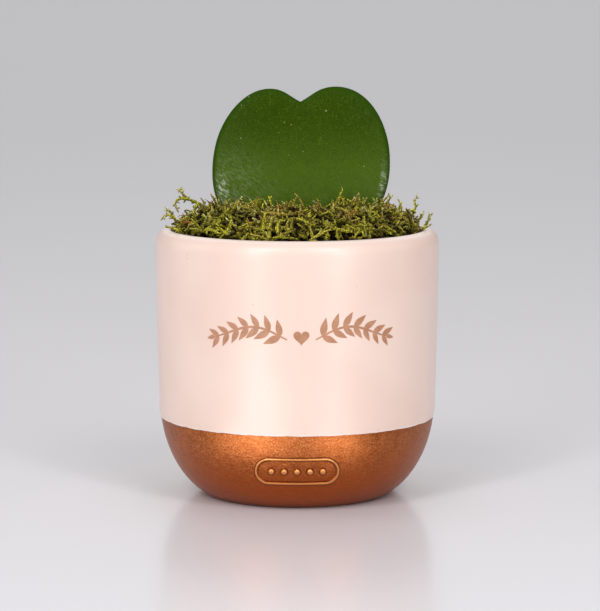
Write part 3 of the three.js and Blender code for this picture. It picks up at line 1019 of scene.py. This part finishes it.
def build_blade(leaf):
    """The blade in its own plane: rings drawn in from the outline, swelling, then mirrored behind."""
    half = leaf_outline(leaf)
    outline = half + [Vector((-p.x, 0, p.z)) for p in half[-2:0:-1]]
    centre = Vector((0, 0, leaf.widest))
    piece = start_vertex("hoya_heart_leaf", outline[0])
    extrude_through(outline)
    shape = bmesh.from_edit_mesh(piece.data)
    shape.edges.new([v for v in shape.verts if len(v.link_edges) == 1])
    bmesh.update_edit_mesh(piece.data)
    bpy.ops.mesh.select_mode(type="EDGE")
    bpy.ops.mesh.select_all(action="SELECT")

    def swell(share):
        """Half of the blade's thickness, by the share of the way from its middle to its margin."""
        return (1 - share**4) ** SWELL * leaf.thickness / 2

    share = 1.0
    for i in range(1, LEAF_RINGS):
        inner = 1 - (i / LEAF_RINGS) ** 1.7
        bpy.ops.mesh.extrude_edges_move()
        scale = inner / share
        bpy.ops.transform.resize(value=(scale, 1, scale), center_override=centre)
        bpy.ops.transform.translate(value=(0, swell(share) - swell(inner), 0))
        share = inner
    bpy.ops.mesh.merge(type="CENTER")
    bpy.ops.object.mode_set(mode="OBJECT")
    depths = [min(1, max(0, -v.co.y / (leaf.thickness / 2))) for v in piece.data.vertices]
    # How near a place lies to the rounded margin, which the material darkens as painted shade.
    paint_values(piece, "margin", [(1 - depth ** (1 / SWELL)) ** 0.25 for depth in depths])
    behind = (False, True, False)
    add_modifier(piece, "MIRROR", use_axis=behind, use_mirror_merge=True, merge_threshold=MERGE_DISTANCE)
    edit(piece, face_outwards)
    return piece


def build_stalk():
    """The stalk, from inside the blade's base down into the soil."""
    top = set_leaf(bpy.context.scene.hoya_leaf, Vector((0, 0, 5 * MM)))
    foot = LEAF_BASE + Vector((-1 * MM, 0.5 * MM, -STALK_LENGTH))
    path = geometry.interpolate_bezier(top, LEAF_BASE, LEAF_BASE, foot, 12)
    radii = steps_between(STALK_TOP_RADIUS, STALK_RADIUS, len(path) - 1)
    pick()
    bpy.ops.mesh.primitive_circle_add(vertices=20, radius=radii[0], fill_type="NGON", location=path[0])
    bpy.ops.object.transform_apply(location=True, rotation=False, scale=False)
    piece = bpy.context.object
    piece.name = "hoya_stalk"
    bpy.ops.object.mode_set(mode="EDIT")
    bpy.ops.mesh.select_all(action="SELECT")
    for i, (here, there) in enumerate(zip(path, path[1:])):
        bpy.ops.mesh.extrude_region_move(TRANSFORM_OT_translate={"value": there - here})
        wider = radii[i + 1] / radii[i]
        bpy.ops.transform.resize(value=(wider, wider, 1), center_override=there)
    bpy.ops.object.mode_set(mode="OBJECT")
    edit(piece, face_outwards)
    return piece


class HOYA_OT_grow_leaf(bpy.types.Operator):
    """Draw the heart's outline, swell it to a thick leaf and root its stalk"""

    bl_idname = "hoya.grow_leaf"
    bl_label = "Grow Leaf"

    def gloss_and_highlight_at(self, leaf, flat):
        """Where the gloss and the painted highlight lie: along the lower margins, mostly on the left."""
        up = flat.z / leaf.tall
        out = flat.x / leaf.half_width / self.half_share(leaf, flat.z) / leaf_skew(flat.x, up)
        left = fade(-out, 0.79, 0.89) * (1 - 0.95 * fade(-out, 0.955, 1.0)) * (1 - fade(up, 0.46, 0.58))
        fan = 0.17 * fade(-out, 0.15, 0.75) * (1 - fade(-out, 0.94, 1.0)) * (1 - fade(up, 0.45, 0.80))
        right = 0.85 * fade(out, 0.885, 0.925) * (1 - 0.9 * fade(out, 0.965, 1.0))
        right *= 1 - fade(up, 0.45, 0.62)
        return min(1, max(left, fan, right) + 0.08 * (1 - fade(up, 0.2, 0.6)))

    def rib(self, leaf, flat):
        """Where the rib behind the leaf stands out, from 0 to 1: it fades out towards the notch."""
        return math.exp(-((flat.x / RIB_WIDTH) ** 2)) * (1 - fade(flat.z / leaf.tall, 0.15, 0.75))

    def half_share(self, leaf, z):
        """About how wide the leaf is below its widest place, as a share of its greatest width."""
        share = min(1, max(0, 1 - z / leaf.widest))
        return max(0.3, math.sqrt(1 - share * share))

    def execute(self, context):
        leaf = context.scene.hoya_leaf

        def unevenness(place):
            """A soft fold under the notch, a rib behind and shallow hollows all over."""
            rim = fade(abs(place.y), 0.4 * MM, 1.2 * MM)
            up = place.z / leaf.tall
            fold = FOLD_DEPTH * math.exp(-((place.x / FOLD_WIDTH) ** 2)) * fade(up, 0.35, 0.85)
            rib = RIB_HEIGHT * self.rib(leaf, place)
            hollows = noise.noise(place * 75) * HOLLOW_DEPTH + noise.noise(place * 240) * WRINKLE_DEPTH
            wider = place.x * (leaf_skew(place.x, up) - 1)
            return Vector((wider, ((fold if place.y < 0 else rib) + hollows) * rim, 0))

        blade = build_blade(leaf)
        for vertex in blade.data.vertices:
            vertex.co = set_leaf(leaf, vertex.co + unevenness(vertex.co))
        pick(blade, build_stalk())
        bpy.ops.object.join()
        piece = bpy.context.object
        behind, gloss_and_highlight, rib = [], [], []
        for vertex in piece.data.vertices:
            flat = unset_leaf(leaf, vertex.co)
            behind.append(fade(flat.y, -0.2 * MM, 0.6 * MM))
            gloss_and_highlight.append(self.gloss_and_highlight_at(leaf, flat) if flat.y < 0 else 0.2)
            rib.append(self.rib(leaf, flat) if flat.y > 0 else 0)
        paint_values(piece, "behind", behind)
        paint_values(piece, "gloss_and_highlight", gloss_and_highlight)
        paint_values(piece, "rib", rib)
        smooth(piece)
        dress(piece, leaf_material(leaf))
        hand_over(piece, "leaf", "hoya_leaf")
        return {"FINISHED"}


# ---- Moss ----

SOIL_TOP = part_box("soil")[1].z
MOSS_FIT = 0.4 * MM  # between the bed and what lies round it
CANOPY_RISE = 7.4 * MM  # canopy above the rim, in the middle
CANOPY_EDGE = 6.2 * MM  # how far it drops at the wall
CANOPY_SIDES = 0.6 * MM  # and how much more at the far left and right
CANOPY_REACH = POT_RADIUS - 5 * MM
LUMPS = 0.4 * MM  # broad waves of the canopy
TUFTS = 1.1 * MM  # and finer ones
BED_DEPTH = 6.0 * MM  # bed under the canopy
BED_HOLE = 2.6 * MM  # radius of the hole for the stalk
BED_RINGS = 42
BED_STEPS = 200
BED_LUMPS = 1.1 * MM
BED_CRUMBS = 0.5 * MM
CLEARANCE = 0.5 * MM  # from the middle of a strand to the pot or the leaf
BY_WALL = 36 * MM  # sprigs rooted farther out than this turn away from the wall
DARK_DEPTH = 1.3 * MM  # this far under the canopy the moss is painted dark, as painted shade
WALL_LIGHT = 2.2 * MM  # and the painted shade starts this much deeper by the wall
SPRIG_STEP = 1.2 * MM
SPRIG_THICKNESS = 1.05 * MM
SPEAR_THICKNESS = 0.9 * MM
STRAY_THICKNESS = 0.92 * MM
DRY_THICKNESS = 0.6 * MM
SPRIG_KINDS = 14
SPEAR_KINDS = 6


def canopy(place):
    """Height that most sprigs reach at a place: uneven, dropping at the wall and most at both sides."""
    radius, angle = math.hypot(place.x, place.y), math.atan2(place.y, place.x)
    share = min(1, radius / CANOPY_REACH)
    lumps = math.sin(3 * angle + 120 * radius) + math.sin(5 * angle - 300 * radius + 1)
    tufts = noise.noise(Vector((place.x, place.y, 0)) * 190)
    sides = CANOPY_SIDES * (fade(-place.x, 30 * MM, 42 * MM) + fade(place.x, 34 * MM, 42 * MM))
    uneven = (LUMPS * lumps + TUFTS * tufts) * (1 - share**6)
    return POT_HEIGHT + CANOPY_RISE - CANOPY_EDGE * share**6 + uneven - sides


def in_the_wall(place):
    """True if a strand here would touch the pot's wall or lip."""
    radius = math.hypot(place.x, place.y)
    if radius < inner_radius(min(place.z, POT_HEIGHT)) - CLEARANCE:
        return False
    past = max(0, radius - POT_RADIUS + LIP_WIDTH) / LIP_WIDTH
    if past > 0.2:
        return True
    return place.z < POT_HEIGHT - LIP_DROP * (1 - math.sqrt(1 - past * past)) + 0.55 * MM


def in_the_leaf(place, leaf):
    """True if a strand here would touch the leaf's blade or stalk."""
    flat = unset_leaf(leaf, place)
    if not -STALK_LENGTH < flat.z < leaf.tall + MM or abs(flat.y) > leaf.thickness / 2 + CLEARANCE:
        return False
    if flat.z < 3 * MM:
        return abs(flat.x) < STALK_RADIUS + CLEARANCE
    share = (flat.z - leaf.widest) / (leaf.widest + 1.5 * MM)
    return abs(flat.x) < leaf.half_width * math.sqrt(max(0, 1 - share * share)) * 1.05 + 0.6 * MM


def is_clear(points, leaf):
    """True if a strand through these points touches neither the pot nor the leaf."""
    return not any(in_the_wall(p) or in_the_leaf(p, leaf) for p in points)


def model_strand(name, path, twigs, thickness, beads=0.26):
    """A forked strand and the points that it runs through. A twig is the number of a point on its stem
    and a line from there. beads says how much the strand swells and thins from point to point."""
    pick()
    bpy.ops.curve.primitive_nurbs_path_add(radius=MM)
    piece = bpy.context.object
    piece.name = name
    lines = piece.data
    lines.splines.clear()
    lines.bevel_depth = thickness / 2
    lines.bevel_resolution = 0
    lines.use_fill_caps = True
    nodes, far = [], []
    for start, line in [(0, path), *[(root, [path[root], *twig]) for root, twig in twigs]]:
        spline = lines.splines.new("POLY")
        spline.points.add(len(line) - 1)
        begin = min(0.8, start / (len(path) - 1))
        for i, (point, place) in enumerate(zip(spline.points, line)):
            share = begin + (1 - begin) * i / (len(line) - 1)
            swell = 1 + beads * (1 if i % 2 else -1)
            point.co = (*place, 1)
            point.radius = (0.85 if start else 1) * swell * (1 - 0.55 * share**3)
            nodes.append(place)
            far.append(share)
    bpy.ops.object.convert(target="MESH")
    piece = bpy.context.object
    edit(piece, lambda: bpy.ops.mesh.remove_doubles(threshold=MERGE_DISTANCE / 2), face_outwards)
    smooth(piece, 80)

    def nearest(vertex):
        """The number of the point that a vertex lies round."""
        return min(range(len(nodes)), key=lambda i: (nodes[i] - vertex.co).length)

    paint_values(piece, "tip", [far[nearest(vertex)] for vertex in piece.data.vertices])
    return piece, nodes


def chance_vector(draw, reach=1.0):
    """A vector with each of its three numbers between -reach and reach."""
    return Vector([draw.uniform(-reach, reach) for _ in range(3)])


def curl(draw, start, heading, steps, step, curve, stray):
    """Points of a line that keeps bending one way, with small strays."""
    points = [start]
    bend = chance_vector(draw).normalized() * curve
    for _ in range(steps):
        heading = (heading + bend + chance_vector(draw) * stray).normalized()
        points.append(points[-1] + heading * step * draw.uniform(0.85, 1.15))
    return points


def draw_sprig(draw, steps, forks):
    """The lines of one sprig that starts at the origin and grows along +Z, curling, with stubby twigs."""
    path = curl(draw, Vector(), Vector((0, 0, 1)), steps, SPRIG_STEP, draw.uniform(0.15, 0.42), 0.18)
    twigs = []
    side = draw.choice((-1, 1))
    spread = Vector((draw.uniform(-1, 1), draw.uniform(-1, 1), 0.3))
    for root in sorted(draw.sample(range(1, steps + 1), forks)):
        ahead = (path[min(root + 1, steps)] - path[min(root + 1, steps) - 1]).normalized()
        across = ahead.cross(spread + chance_vector(draw, 0.5)).normalized()
        side = -side
        first = (ahead * draw.uniform(0.5, 1.2) + across * side).normalized()
        twigs.append((root, [path[root] + first * draw.uniform(0.9, 1.7) * MM]))
    return path, twigs


def set_down(kind, name, place, tint, paleness, dullness=0.0):
    """A copy of a kind of sprig with its own mesh, moved to its place and given its colours."""
    copy = kind.copy()
    copy.data = kind.data.copy()
    copy.name = name
    copy.data.transform(place)
    tips = [0.0] * len(copy.data.vertices)
    kind.data.attributes["tip"].data.foreach_get("value", tips)
    paint_values(copy, "tip", [tip * paleness for tip in tips])
    paint_values(copy, "tint", [tint] * len(tips))
    paint_values(copy, "dull", [dullness] * len(tips))
    bpy.context.scene.collection.objects.link(copy)
    return copy


def gather(copies, name, material, *nodes):
    """Joins the copies into one piece of moss, with painted shade under the canopy and on what faces down."""
    pick(*copies)
    bpy.ops.object.join()
    piece = bpy.context.object
    piece.name = name
    piece.data.name = name
    dress(piece, material)
    depth_shade = []
    for vertex in piece.data.vertices:
        # Painted shade: darker under the canopy, less so by the wall, and on what faces down.
        by_wall = WALL_LIGHT * fade(math.hypot(vertex.co.x, vertex.co.y), 32 * MM, 40 * MM)
        depth = fade(canopy(vertex.co) - vertex.co.z - by_wall, -0.4 * MM, DARK_DEPTH)
        under = 0.70 * (1 - fade(vertex.normal.z, -0.6, 0.5))
        depth_shade.append(1 - (1 - depth) * (1 - under))
    paint_values(piece, "depth_shade", depth_shade)
    hand_over(piece, "moss", *nodes)
    return piece


def polar(radius, angle, z=0.0):
    """A place by its distance from the pot's axis, its angle and its height."""
    return Vector((radius * math.cos(angle), radius * math.sin(angle), z))


def lie(draw, root, azimuth, lean, low, high):
    """Where a sprig lies: its root, its direction and lean from upright, a chance twist and a chance size."""
    heading = polar(math.sin(lean), azimuth, math.cos(lean))
    turn = heading.to_track_quat("Z", "Y").to_matrix().to_4x4()
    twist = Matrix.Rotation(draw.uniform(0, math.tau), 4, "Z")
    return Matrix.Translation(root) @ turn @ twist @ Matrix.Scale(draw.uniform(low, high), 4)


class HOYA_OT_lay_moss_bed(bpy.types.Operator):
    """Spin the cushion under the moss, roughen it and leave room for the leaf"""

    bl_idname = "hoya.lay_moss_bed"
    bl_label = "Lay Moss Bed"

    def execute(self, context):
        leaf = context.scene.hoya_leaf
        reach = inner_radius(SOIL_TOP) - MOSS_FIT
        floor = SOIL_TOP + MOSS_FIT
        rings = steps_between(BED_HOLE, reach, BED_RINGS)
        profile = [
            (BED_HOLE, floor),
            (reach * 0.6, floor - 0.45 * MM),
            (reach, floor - 1.5 * MM),
            *[(reach, z) for z in steps_between(floor + 1.5 * MM, POT_HEIGHT - 3 * MM, 3)],
            *[(radius, POT_HEIGHT) for radius in reversed(rings)],
            (BED_HOLE, floor),
        ]
        piece = spin_profile("moss_bed", profile, BED_STEPS)
        for vertex in piece.data.vertices:
            vertex.co = self.shape(leaf, vertex.co, reach)
        smooth(piece, 60)
        dress(piece, bed_material(context.scene.hoya_moss))
        hand_over(piece, "moss", "moss")
        return {"FINISHED"}

    def shape(self, leaf, place, reach):
        """Roughens the top, moves the hole to the stalk and sinks a trench under the leaf."""
        radius = math.hypot(place.x, place.y)
        near_hole = 1 - fade(radius, BED_HOLE, 12 * MM)
        moved = place.copy()
        moved.x += (0.9 * place.x + LEAF_BASE.x) * near_hole
        moved.y += LEAF_BASE.y * near_hole
        if place.z < POT_HEIGHT - 1 * MM:
            return moved
        top = canopy(place) - BED_DEPTH - 1.6 * MM * fade(radius, reach - 4 * MM, reach)
        top += noise.noise(place * 300) * BED_LUMPS + noise.noise(place * 800) * BED_CRUMBS
        moved.z = top
        flat = unset_leaf(leaf, moved)
        share = flat.x / (leaf.half_width + 1.5 * MM)
        if abs(flat.y) < leaf.thickness / 2 + 1.2 * MM and abs(share) < 1:
            under = leaf.widest - (leaf.widest + 1.5 * MM) * math.sqrt(1 - share * share)
            moved.z = min(top, LEAF_BASE.z + max(2.4 * MM, under - 1 * MM))
        return moved


class HOYA_OT_strew_sprigs(bpy.types.Operator):
    """Model a score of forked sprigs and strew copies of them over the bed and along the leaf"""

    bl_idname = "hoya.strew_sprigs"
    bl_label = "Strew Sprigs"

    def execute(self, context):
        moss = context.scene.hoya_moss
        leaf = context.scene.hoya_leaf
        draw = random.Random(moss.seed)
        kinds = self.model(draw, "sprig_kind", SPRIG_KINDS, range(5, 8), range(2, 5), SPRIG_THICKNESS, 0.20)
        copies = []
        reach = inner_radius(POT_HEIGHT) - 0.6 * MM
        while len(copies) < moss.sprigs:
            radius, angle = reach * draw.random() ** 0.47, draw.uniform(0, math.tau)
            copies += self.tangled(draw, kinds, radius, angle, leaf)
        spears = self.model(draw, "spear_kind", SPEAR_KINDS, range(4, 7), range(1, 3), SPEAR_THICKNESS, 0.15)
        for i in range(moss.fringe):
            copies += self.upright(draw, spears if i % 3 else kinds, leaf, -1 if i % 5 < 3 else 1)
        copies.sort(key=lambda copy: copy.data.vertices[0].co.z)
        layers = ("moss_sprigs_bottom", "moss_sprigs_low", "moss_sprigs_middle", "moss_sprigs_top")
        share = len(copies) // len(layers) + 1
        material = moss_material(moss)
        for i, name in enumerate(layers):
            gather(copies[i * share : (i + 1) * share], name, material, "moss")
        for kind, _ in kinds + spears:
            delete(kind)
        return {"FINISHED"}

    def model(self, draw, name, number, steps, forks, thickness, beads):
        """This many kinds of sprig. They take turns at these numbers of steps and of forks."""
        kinds = []
        for i in range(number):
            lines = draw_sprig(draw, steps[i % len(steps)], forks[i % len(forks)])
            kinds.append(model_strand(f"{name}_{i}", *lines, thickness, beads))
        return kinds

    def tint(self, draw, place):
        """Green in some patches, brown in others, in front of the leaf's middle and along the leaf."""
        patch = noise.noise(Vector((place.x, place.y, 0)) * 70)
        near_leaf = 1 - fade(abs(place.y), 3 * MM, 16 * MM)
        middle = 1 - fade(math.hypot(place.x + 1 * MM, 0.8 * (place.y + 12 * MM)), 3 * MM, 13 * MM)
        return min(1, max(0, draw.gauss(0.36, 0.24) + patch * 0.45 + 0.15 * near_leaf + 0.4 * middle))

    def dullness(self, draw):
        """Most sprigs are fresh and three in ten are more or less dead and dark."""
        return draw.uniform(0.4, 0.95) if draw.random() < 0.30 else draw.uniform(0, 0.1)

    def paleness(self, draw):
        """Most tips are hardly pale and a few are straw-coloured."""
        return draw.random() ** 1.6

    def tangled(self, draw, kinds, radius, angle, leaf):
        """A sprig that lies in the tangle, in a list, or an empty one if there is no room."""
        for _ in range(10):
            kind, nodes = draw.choice(kinds)
            lean = math.radians(draw.triangular(5, 108, 62))
            root = polar(radius, angle)
            depth = draw.uniform(0.0, 4.4) * MM + 4.0 * MM * max(0, math.cos(lean))
            root.z = canopy(root) - depth
            azimuth = draw.uniform(0, math.tau)
            if radius > BY_WALL:
                azimuth = angle + draw.choice((-1, 1)) * draw.uniform(math.radians(70), math.pi)
            place = lie(draw, root, azimuth, lean, 0.8, 1.4)
            points = [place @ p for p in nodes]
            proud = max(p.z - canopy(p) for p in points)
            if proud < draw.triangular(0.2, 4.0, 1.0) * MM and is_clear(points, leaf):
                colours = self.tint(draw, root), self.paleness(draw), self.dullness(draw)
                return [set_down(kind, "moss_sprig", place, *colours)]
        return []

    def upright(self, draw, kinds, leaf, side):
        """A sprig that stands up against the leaf, in a list, or an empty one if there is no room."""
        for _ in range(10):
            kind, nodes = draw.choice(kinds)
            across = draw.uniform(-leaf.half_width, leaf.half_width) + LEAF_BASE.x
            root = Vector((across, LEAF_BASE.y + side * draw.uniform(2.6, 5.5) * MM, 0))
            root.z = canopy(root) - draw.uniform(1.2, 4.2) * MM
            lean = math.radians(draw.triangular(0, 40, 10))
            place = lie(draw, root, draw.uniform(0, math.tau), lean, 0.7, 1.1)
            if is_clear([place @ p for p in nodes], leaf):
                return [set_down(kind, "moss_sprig", place, self.tint(draw, root), draw.random() ** 0.8)]
        return []


STRAY_LINES = (  # how far behind the pot's axis, then points across and up, all in millimetres
    (-2, (-31.6, 97.5), (-34.2, 98.6), (-36.5, 99.5), (-37.6, 100.4), (-38.6, 101.6), (-39.2, 102.6),
     (-40.5, 102.8)),
    (-1.7, (-38.2, 101.2), (-38.9, 102.3), (-38.6, 103.6)),
    (-3, (-35.6, 99.3), (-37.2, 99.7), (-38.8, 99.8), (-40.2, 99.3), (-40.8, 98.2), (-40.5, 96.8),
     (-39.7, 95.1)),
    (-1, (-40.6, 91.8), (-41.2, 93.0), (-41.9, 94.3), (-43.0, 95.6), (-44.4, 96.9)),
    (-2, (-40.6, 92.6), (-41.8, 93.6), (-43.1, 94.2), (-44.5, 93.8), (-45.7, 92.4)),
    (-18, (-38.2, 90.0), (-39.4, 90.7), (-40.9, 91.2), (-42.2, 91.7), (-43.6, 92.2)),
    (0, (-30.9, 96.0), (-31.1, 97.2), (-31.4, 98.5), (-32.4, 99.8)),
    (-2, (28.2, 95.4), (28.9, 96.8), (29.8, 98.2), (30.9, 99.7), (32.1, 101.0)),
    (0, (35.0, 95.4), (34.9, 96.7), (34.5, 98.2), (33.5, 99.8)),
    (-2, (38.6, 93.6), (39.1, 95.2), (39.7, 96.9), (39.3, 98.4), (39.6, 99.8), (40.5, 101.3)),
    (-3, (39.7, 94.9), (39.0, 95.6), (38.2, 96.0), (37.3, 96.2)),
    (-4, (42.5, 90.6), (43.3, 91.5), (43.8, 92.6), (44.2, 94.0), (45.4, 95.0)),
    (-8, (40.9, 90.0), (42.2, 90.4), (43.5, 90.9), (44.9, 91.8)),
    (-1, (41.0, 92.6), (41.7, 93.6), (42.2, 94.5), (42.6, 95.5)),
)


class HOYA_OT_add_strays(bpy.types.Operator):
    """Lay the long strands that stray out of the tangle at both sides"""

    bl_idname = "hoya.add_strays"
    bl_label = "Add Strays"

    def execute(self, context):
        moss = context.scene.hoya_moss
        draw = random.Random(moss.seed + 1)
        strands = []
        for depth, *line in STRAY_LINES:
            path = [Vector((x, depth + draw.uniform(-0.3, 0.3), z)) * MM for x, z in line]
            twigs = []
            for root in range(1, len(path) - 1):
                ahead = (path[root + 1] - path[root]).normalized()
                across = ahead.cross(Vector((0, 1, draw.uniform(-0.4, 0.4)))) * (1 if root % 2 else -1)
                first = (across + ahead * 0.9).normalized()
                size = draw.uniform(0.5, 0.8) * MM
                twigs.append((root, curl(draw, path[root], first, 2, size, 0.3, 0.2)[1:]))
            if len(path) <= 4:
                twigs = twigs[::2]
            strand, _ = model_strand("stray_strand", path, twigs, STRAY_THICKNESS, 0.18)
            paint_values(strand, "tint", [draw.uniform(0.1, 0.45)] * len(strand.data.vertices))
            strands.append(strand)
        gather(strands, "moss_strays", moss_material(moss))
        return {"FINISHED"}


class HOYA_OT_scatter_dry_bits(bpy.types.Operator):
    """Scatter dried orange sprigs and curled scraps over the moss"""

    bl_idname = "hoya.scatter_dry_bits"
    bl_label = "Scatter Dry Bits"

    def execute(self, context):
        moss = context.scene.hoya_moss
        leaf = context.scene.hoya_leaf
        draw = random.Random(moss.seed + 2)
        kinds = [model_strand(f"dry_kind_{i}", *draw_sprig(draw, 4, 2), DRY_THICKNESS) for i in range(3)]
        kinds += [self.scrap(f"scrap_kind_{i}", bend) for i, bend in enumerate((0.5, 1.1))]
        copies = []
        reach = inner_radius(POT_HEIGHT) - 2 * MM
        while len(copies) < moss.dry_bits:
            radius, angle = reach * math.sqrt(draw.random()), draw.uniform(0, math.tau)
            kind, nodes = draw.choice(kinds)
            root = polar(radius, angle)
            root.z = canopy(root) - draw.uniform(-0.9, 0.6) * MM
            azimuth, lean = draw.uniform(0, math.tau), math.radians(draw.uniform(30, 95))
            place = lie(draw, root, azimuth, lean, 0.5, 0.9)
            if is_clear([place @ p for p in nodes], leaf):
                copies.append(set_down(kind, "dry_bit", place, draw.random(), 0))
        gather(copies, "dry_bits", dry_bit_material())
        for kind, _ in kinds:
            delete(kind)
        return {"FINISHED"}

    def scrap(self, name, bend):
        """A small pointed scrap of dry leaf, curled along its length."""
        pick()
        bpy.ops.mesh.primitive_grid_add(x_subdivisions=2, y_subdivisions=5, size=1)
        piece = bpy.context.object
        piece.name = name
        for vertex in piece.data.vertices:
            t = vertex.co.y + 0.5
            wide = 0.75 * MM * math.sin(math.pi * min(0.97, t + 0.08)) ** 0.7
            turn = bend * (t - 0.3)
            across = vertex.co.x * 2 * wide
            vertex.co = Vector((across, 1.1 * MM * turn * turn + across * across * 250, 3.2 * MM * t))
        add_modifier(piece, "SOLIDIFY", thickness=0.14 * MM, offset=0)
        paint_values(piece, "tip", [0.0] * len(piece.data.vertices))
        return piece, [Vector((0, 0, z)) for z in (0, 1.6 * MM, 3.2 * MM)]


# ---- Stage ----

CAMERA_DISTANCE = 0.950
CAMERA_HEIGHT = 0.1837
CAMERA_SIDE = 0.94 * MM
CAMERA_PITCH = math.radians(7.22)
CAMERA_LENS = 167.3  # millimetres
FLOOR_RADIUS = 30
SOFTBOX_FOOT = 0.02  # from the floor to a tall light
CARD_NEAR = 0.070  # from the pot's axis to a card
CARD_FAR = 0.36


def compass(azimuth, elevation=0.0):
    """A direction from the pot. Azimuth 0 is in front and 90 is to the right."""
    a, e = math.radians(azimuth), math.radians(elevation)
    return Vector((math.sin(a) * math.cos(e), -math.cos(a) * math.cos(e), math.sin(e)))


def add_light(kind, name, place, turn, energy):
    """A light at a place, turned this way."""
    pick()
    bpy.ops.object.light_add(type=kind, location=place)
    light = bpy.context.object
    light.name = name
    light.rotation_euler = turn
    light.data.energy = energy
    return light


def add_sun(name, azimuth, elevation, width, energy):
    """A wide soft sun that shines on the pot. width is its angle in degrees."""
    towards = compass(azimuth, elevation)
    sun = add_light("SUN", name, towards, towards.to_track_quat("Z", "Y").to_euler(), energy)
    sun.data.angle = math.radians(width)


def add_panel(name, place, turn, width, height, power):
    """A glowing rectangle, unseen by the camera itself."""
    panel = add_light("AREA", name, place, turn, power)
    panel.data.shape = "RECTANGLE"
    panel.data.size = width
    panel.data.size_y = height
    panel.visible_camera = False
    return panel


def add_softbox(name, azimuth, distance, width, height, power):
    """A tall light that stands on the floor and faces the pot."""
    towards = compass(azimuth)
    place = towards * distance + Vector((0, 0, height / 2 + SOFTBOX_FOOT))
    add_panel(name, place, towards.to_track_quat("Z", "Y").to_euler(), width, height, power)


def add_card(name, azimuth, width, power):
    """A glowing card that lies on the floor and points away from the pot, seen only in reflections."""
    place = compass(azimuth) * (CARD_NEAR + CARD_FAR) / 2 + Vector((0, 0, MM))
    turn = (math.pi, 0, math.radians(azimuth))
    card = add_panel(name, place, turn, width, CARD_FAR - CARD_NEAR, power)
    card.visible_diffuse = False


class HOYA_OT_set_stage(bpy.types.Operator):
    """Lay a pale floor, hang the lights and aim the camera"""

    bl_idname = "hoya.set_stage"
    bl_label = "Set Stage"

    def execute(self, context):
        stage = context.scene.hoya_stage
        self.lay_floor(stage)
        self.light(context.scene, stage)
        self.aim(context.scene)
        return {"FINISHED"}

    def lay_floor(self, stage):
        """A wide floor that the pot stands on."""
        pick()
        bpy.ops.mesh.primitive_circle_add(vertices=96, radius=FLOOR_RADIUS, fill_type="NGON")
        floor = bpy.context.object
        floor.name = "stage_floor"
        material, tree, shader, place = new_material("Stage Floor")
        body = mix(tree, noise_at(tree, place, 3.0), stage.floor, tone(stage.floor, 0.985))
        feed(tree, shader, base_color=body)
        settle(shader, {"Roughness": 0.22, "Specular IOR Level": 0.5})
        dress(floor, material)

    def light(self, scene, stage):
        """Soft lights in front, at the sides and behind, two cards on the floor and a pale surround."""
        add_sun("high_left", -30, 48, 22, stage.high * 1.1)
        add_sun("high_right", 30, 48, 22, stage.high)
        add_sun("back", 180, 42, 60, stage.high * 1.1)
        add_softbox("strip_left", -33, 1.15, 0.16, 1.3, stage.strips * 1.15)
        add_softbox("strip_right", 33, 1.15, 0.16, 1.3, stage.strips)
        add_softbox("side_left", -100, 1.3, 0.5, 0.9, stage.strips * 0.34)
        add_softbox("side_right", 100, 1.3, 0.5, 0.9, stage.strips * 0.08)
        add_card("card_left", -27, 0.085, stage.cards * 1.35)
        add_card("card_right", 25, 0.055, stage.cards * 0.75)
        world = bpy.data.worlds.new("Studio")
        scene.world = world
        world.use_nodes = True
        surround = world.node_tree.nodes["Background"].inputs
        surround["Color"].default_value = (1, 1, 1, 1)
        surround["Strength"].default_value = 0.36
        scene.view_settings.view_transform = "Standard"

    def aim(self, scene):
        """The photograph's own viewpoint."""
        pick()
        bpy.ops.object.camera_add(location=(CAMERA_SIDE, -CAMERA_DISTANCE, CAMERA_HEIGHT))
        camera = bpy.context.object
        camera.name = "front_camera"
        camera.rotation_euler = (math.pi / 2 - CAMERA_PITCH, 0, 0)
        camera.data.lens = CAMERA_LENS
        camera.data.clip_start = 0.05
        camera.data.clip_end = 60
        scene.camera = camera


# ---- Add-on ----

SETTINGS = {
    "hoya_pot": PotSettings,
    "hoya_garland": GarlandSettings,
    "hoya_leaf": LeafSettings,
    "hoya_moss": MossSettings,
    "hoya_stage": StageSettings,
}
OPERATORS = (
    HOYA_OT_build_pot,
    HOYA_OT_paint_garland,
    HOYA_OT_dress_soil,
    HOYA_OT_grow_leaf,
    HOYA_OT_lay_moss_bed,
    HOYA_OT_strew_sprigs,
    HOYA_OT_add_strays,
    HOYA_OT_scatter_dry_bits,
    HOYA_OT_set_stage,
)


class HOYA_PT_sidebar(bpy.types.Panel):
    """Settings and steps of the potted hoya"""

    bl_label = "Heart-leaf Hoya"
    bl_space_type = "VIEW_3D"
    bl_region_type = "UI"
    bl_category = "Hoya"

    def draw(self, context):
        for name, group in SETTINGS.items():
            box = self.layout.box()
            box.label(text=group.__doc__)
            for key in group.__annotations__:
                box.prop(getattr(context.scene, name), key)
        for operator in OPERATORS:
            self.layout.operator(operator.bl_idname)


def register():
    """Adds the settings, the operators and the panel."""
    for name, group in SETTINGS.items():
        bpy.utils.register_class(group)
        setattr(bpy.types.Scene, name, bpy.props.PointerProperty(type=group))
    for kind in (*OPERATORS, HOYA_PT_sidebar):
        bpy.utils.register_class(kind)


def unregister():
    """Removes them again."""
    for kind in (*OPERATORS, HOYA_PT_sidebar):
        bpy.utils.unregister_class(kind)
    for name, group in SETTINGS.items():
        delattr(bpy.types.Scene, name)
        bpy.utils.unregister_class(group)


def main():
    """Builds every piece in order."""
    register()
    bpy.ops.hoya.build_pot()
    bpy.ops.hoya.paint_garland()
    bpy.ops.hoya.dress_soil()
    bpy.ops.hoya.grow_leaf()
    bpy.ops.hoya.lay_moss_bed()
    bpy.ops.hoya.strew_sprigs()
    bpy.ops.hoya.add_strays()
    bpy.ops.hoya.scatter_dry_bits()
    bpy.ops.hoya.set_stage()


if __name__ == "__main__":
    main()
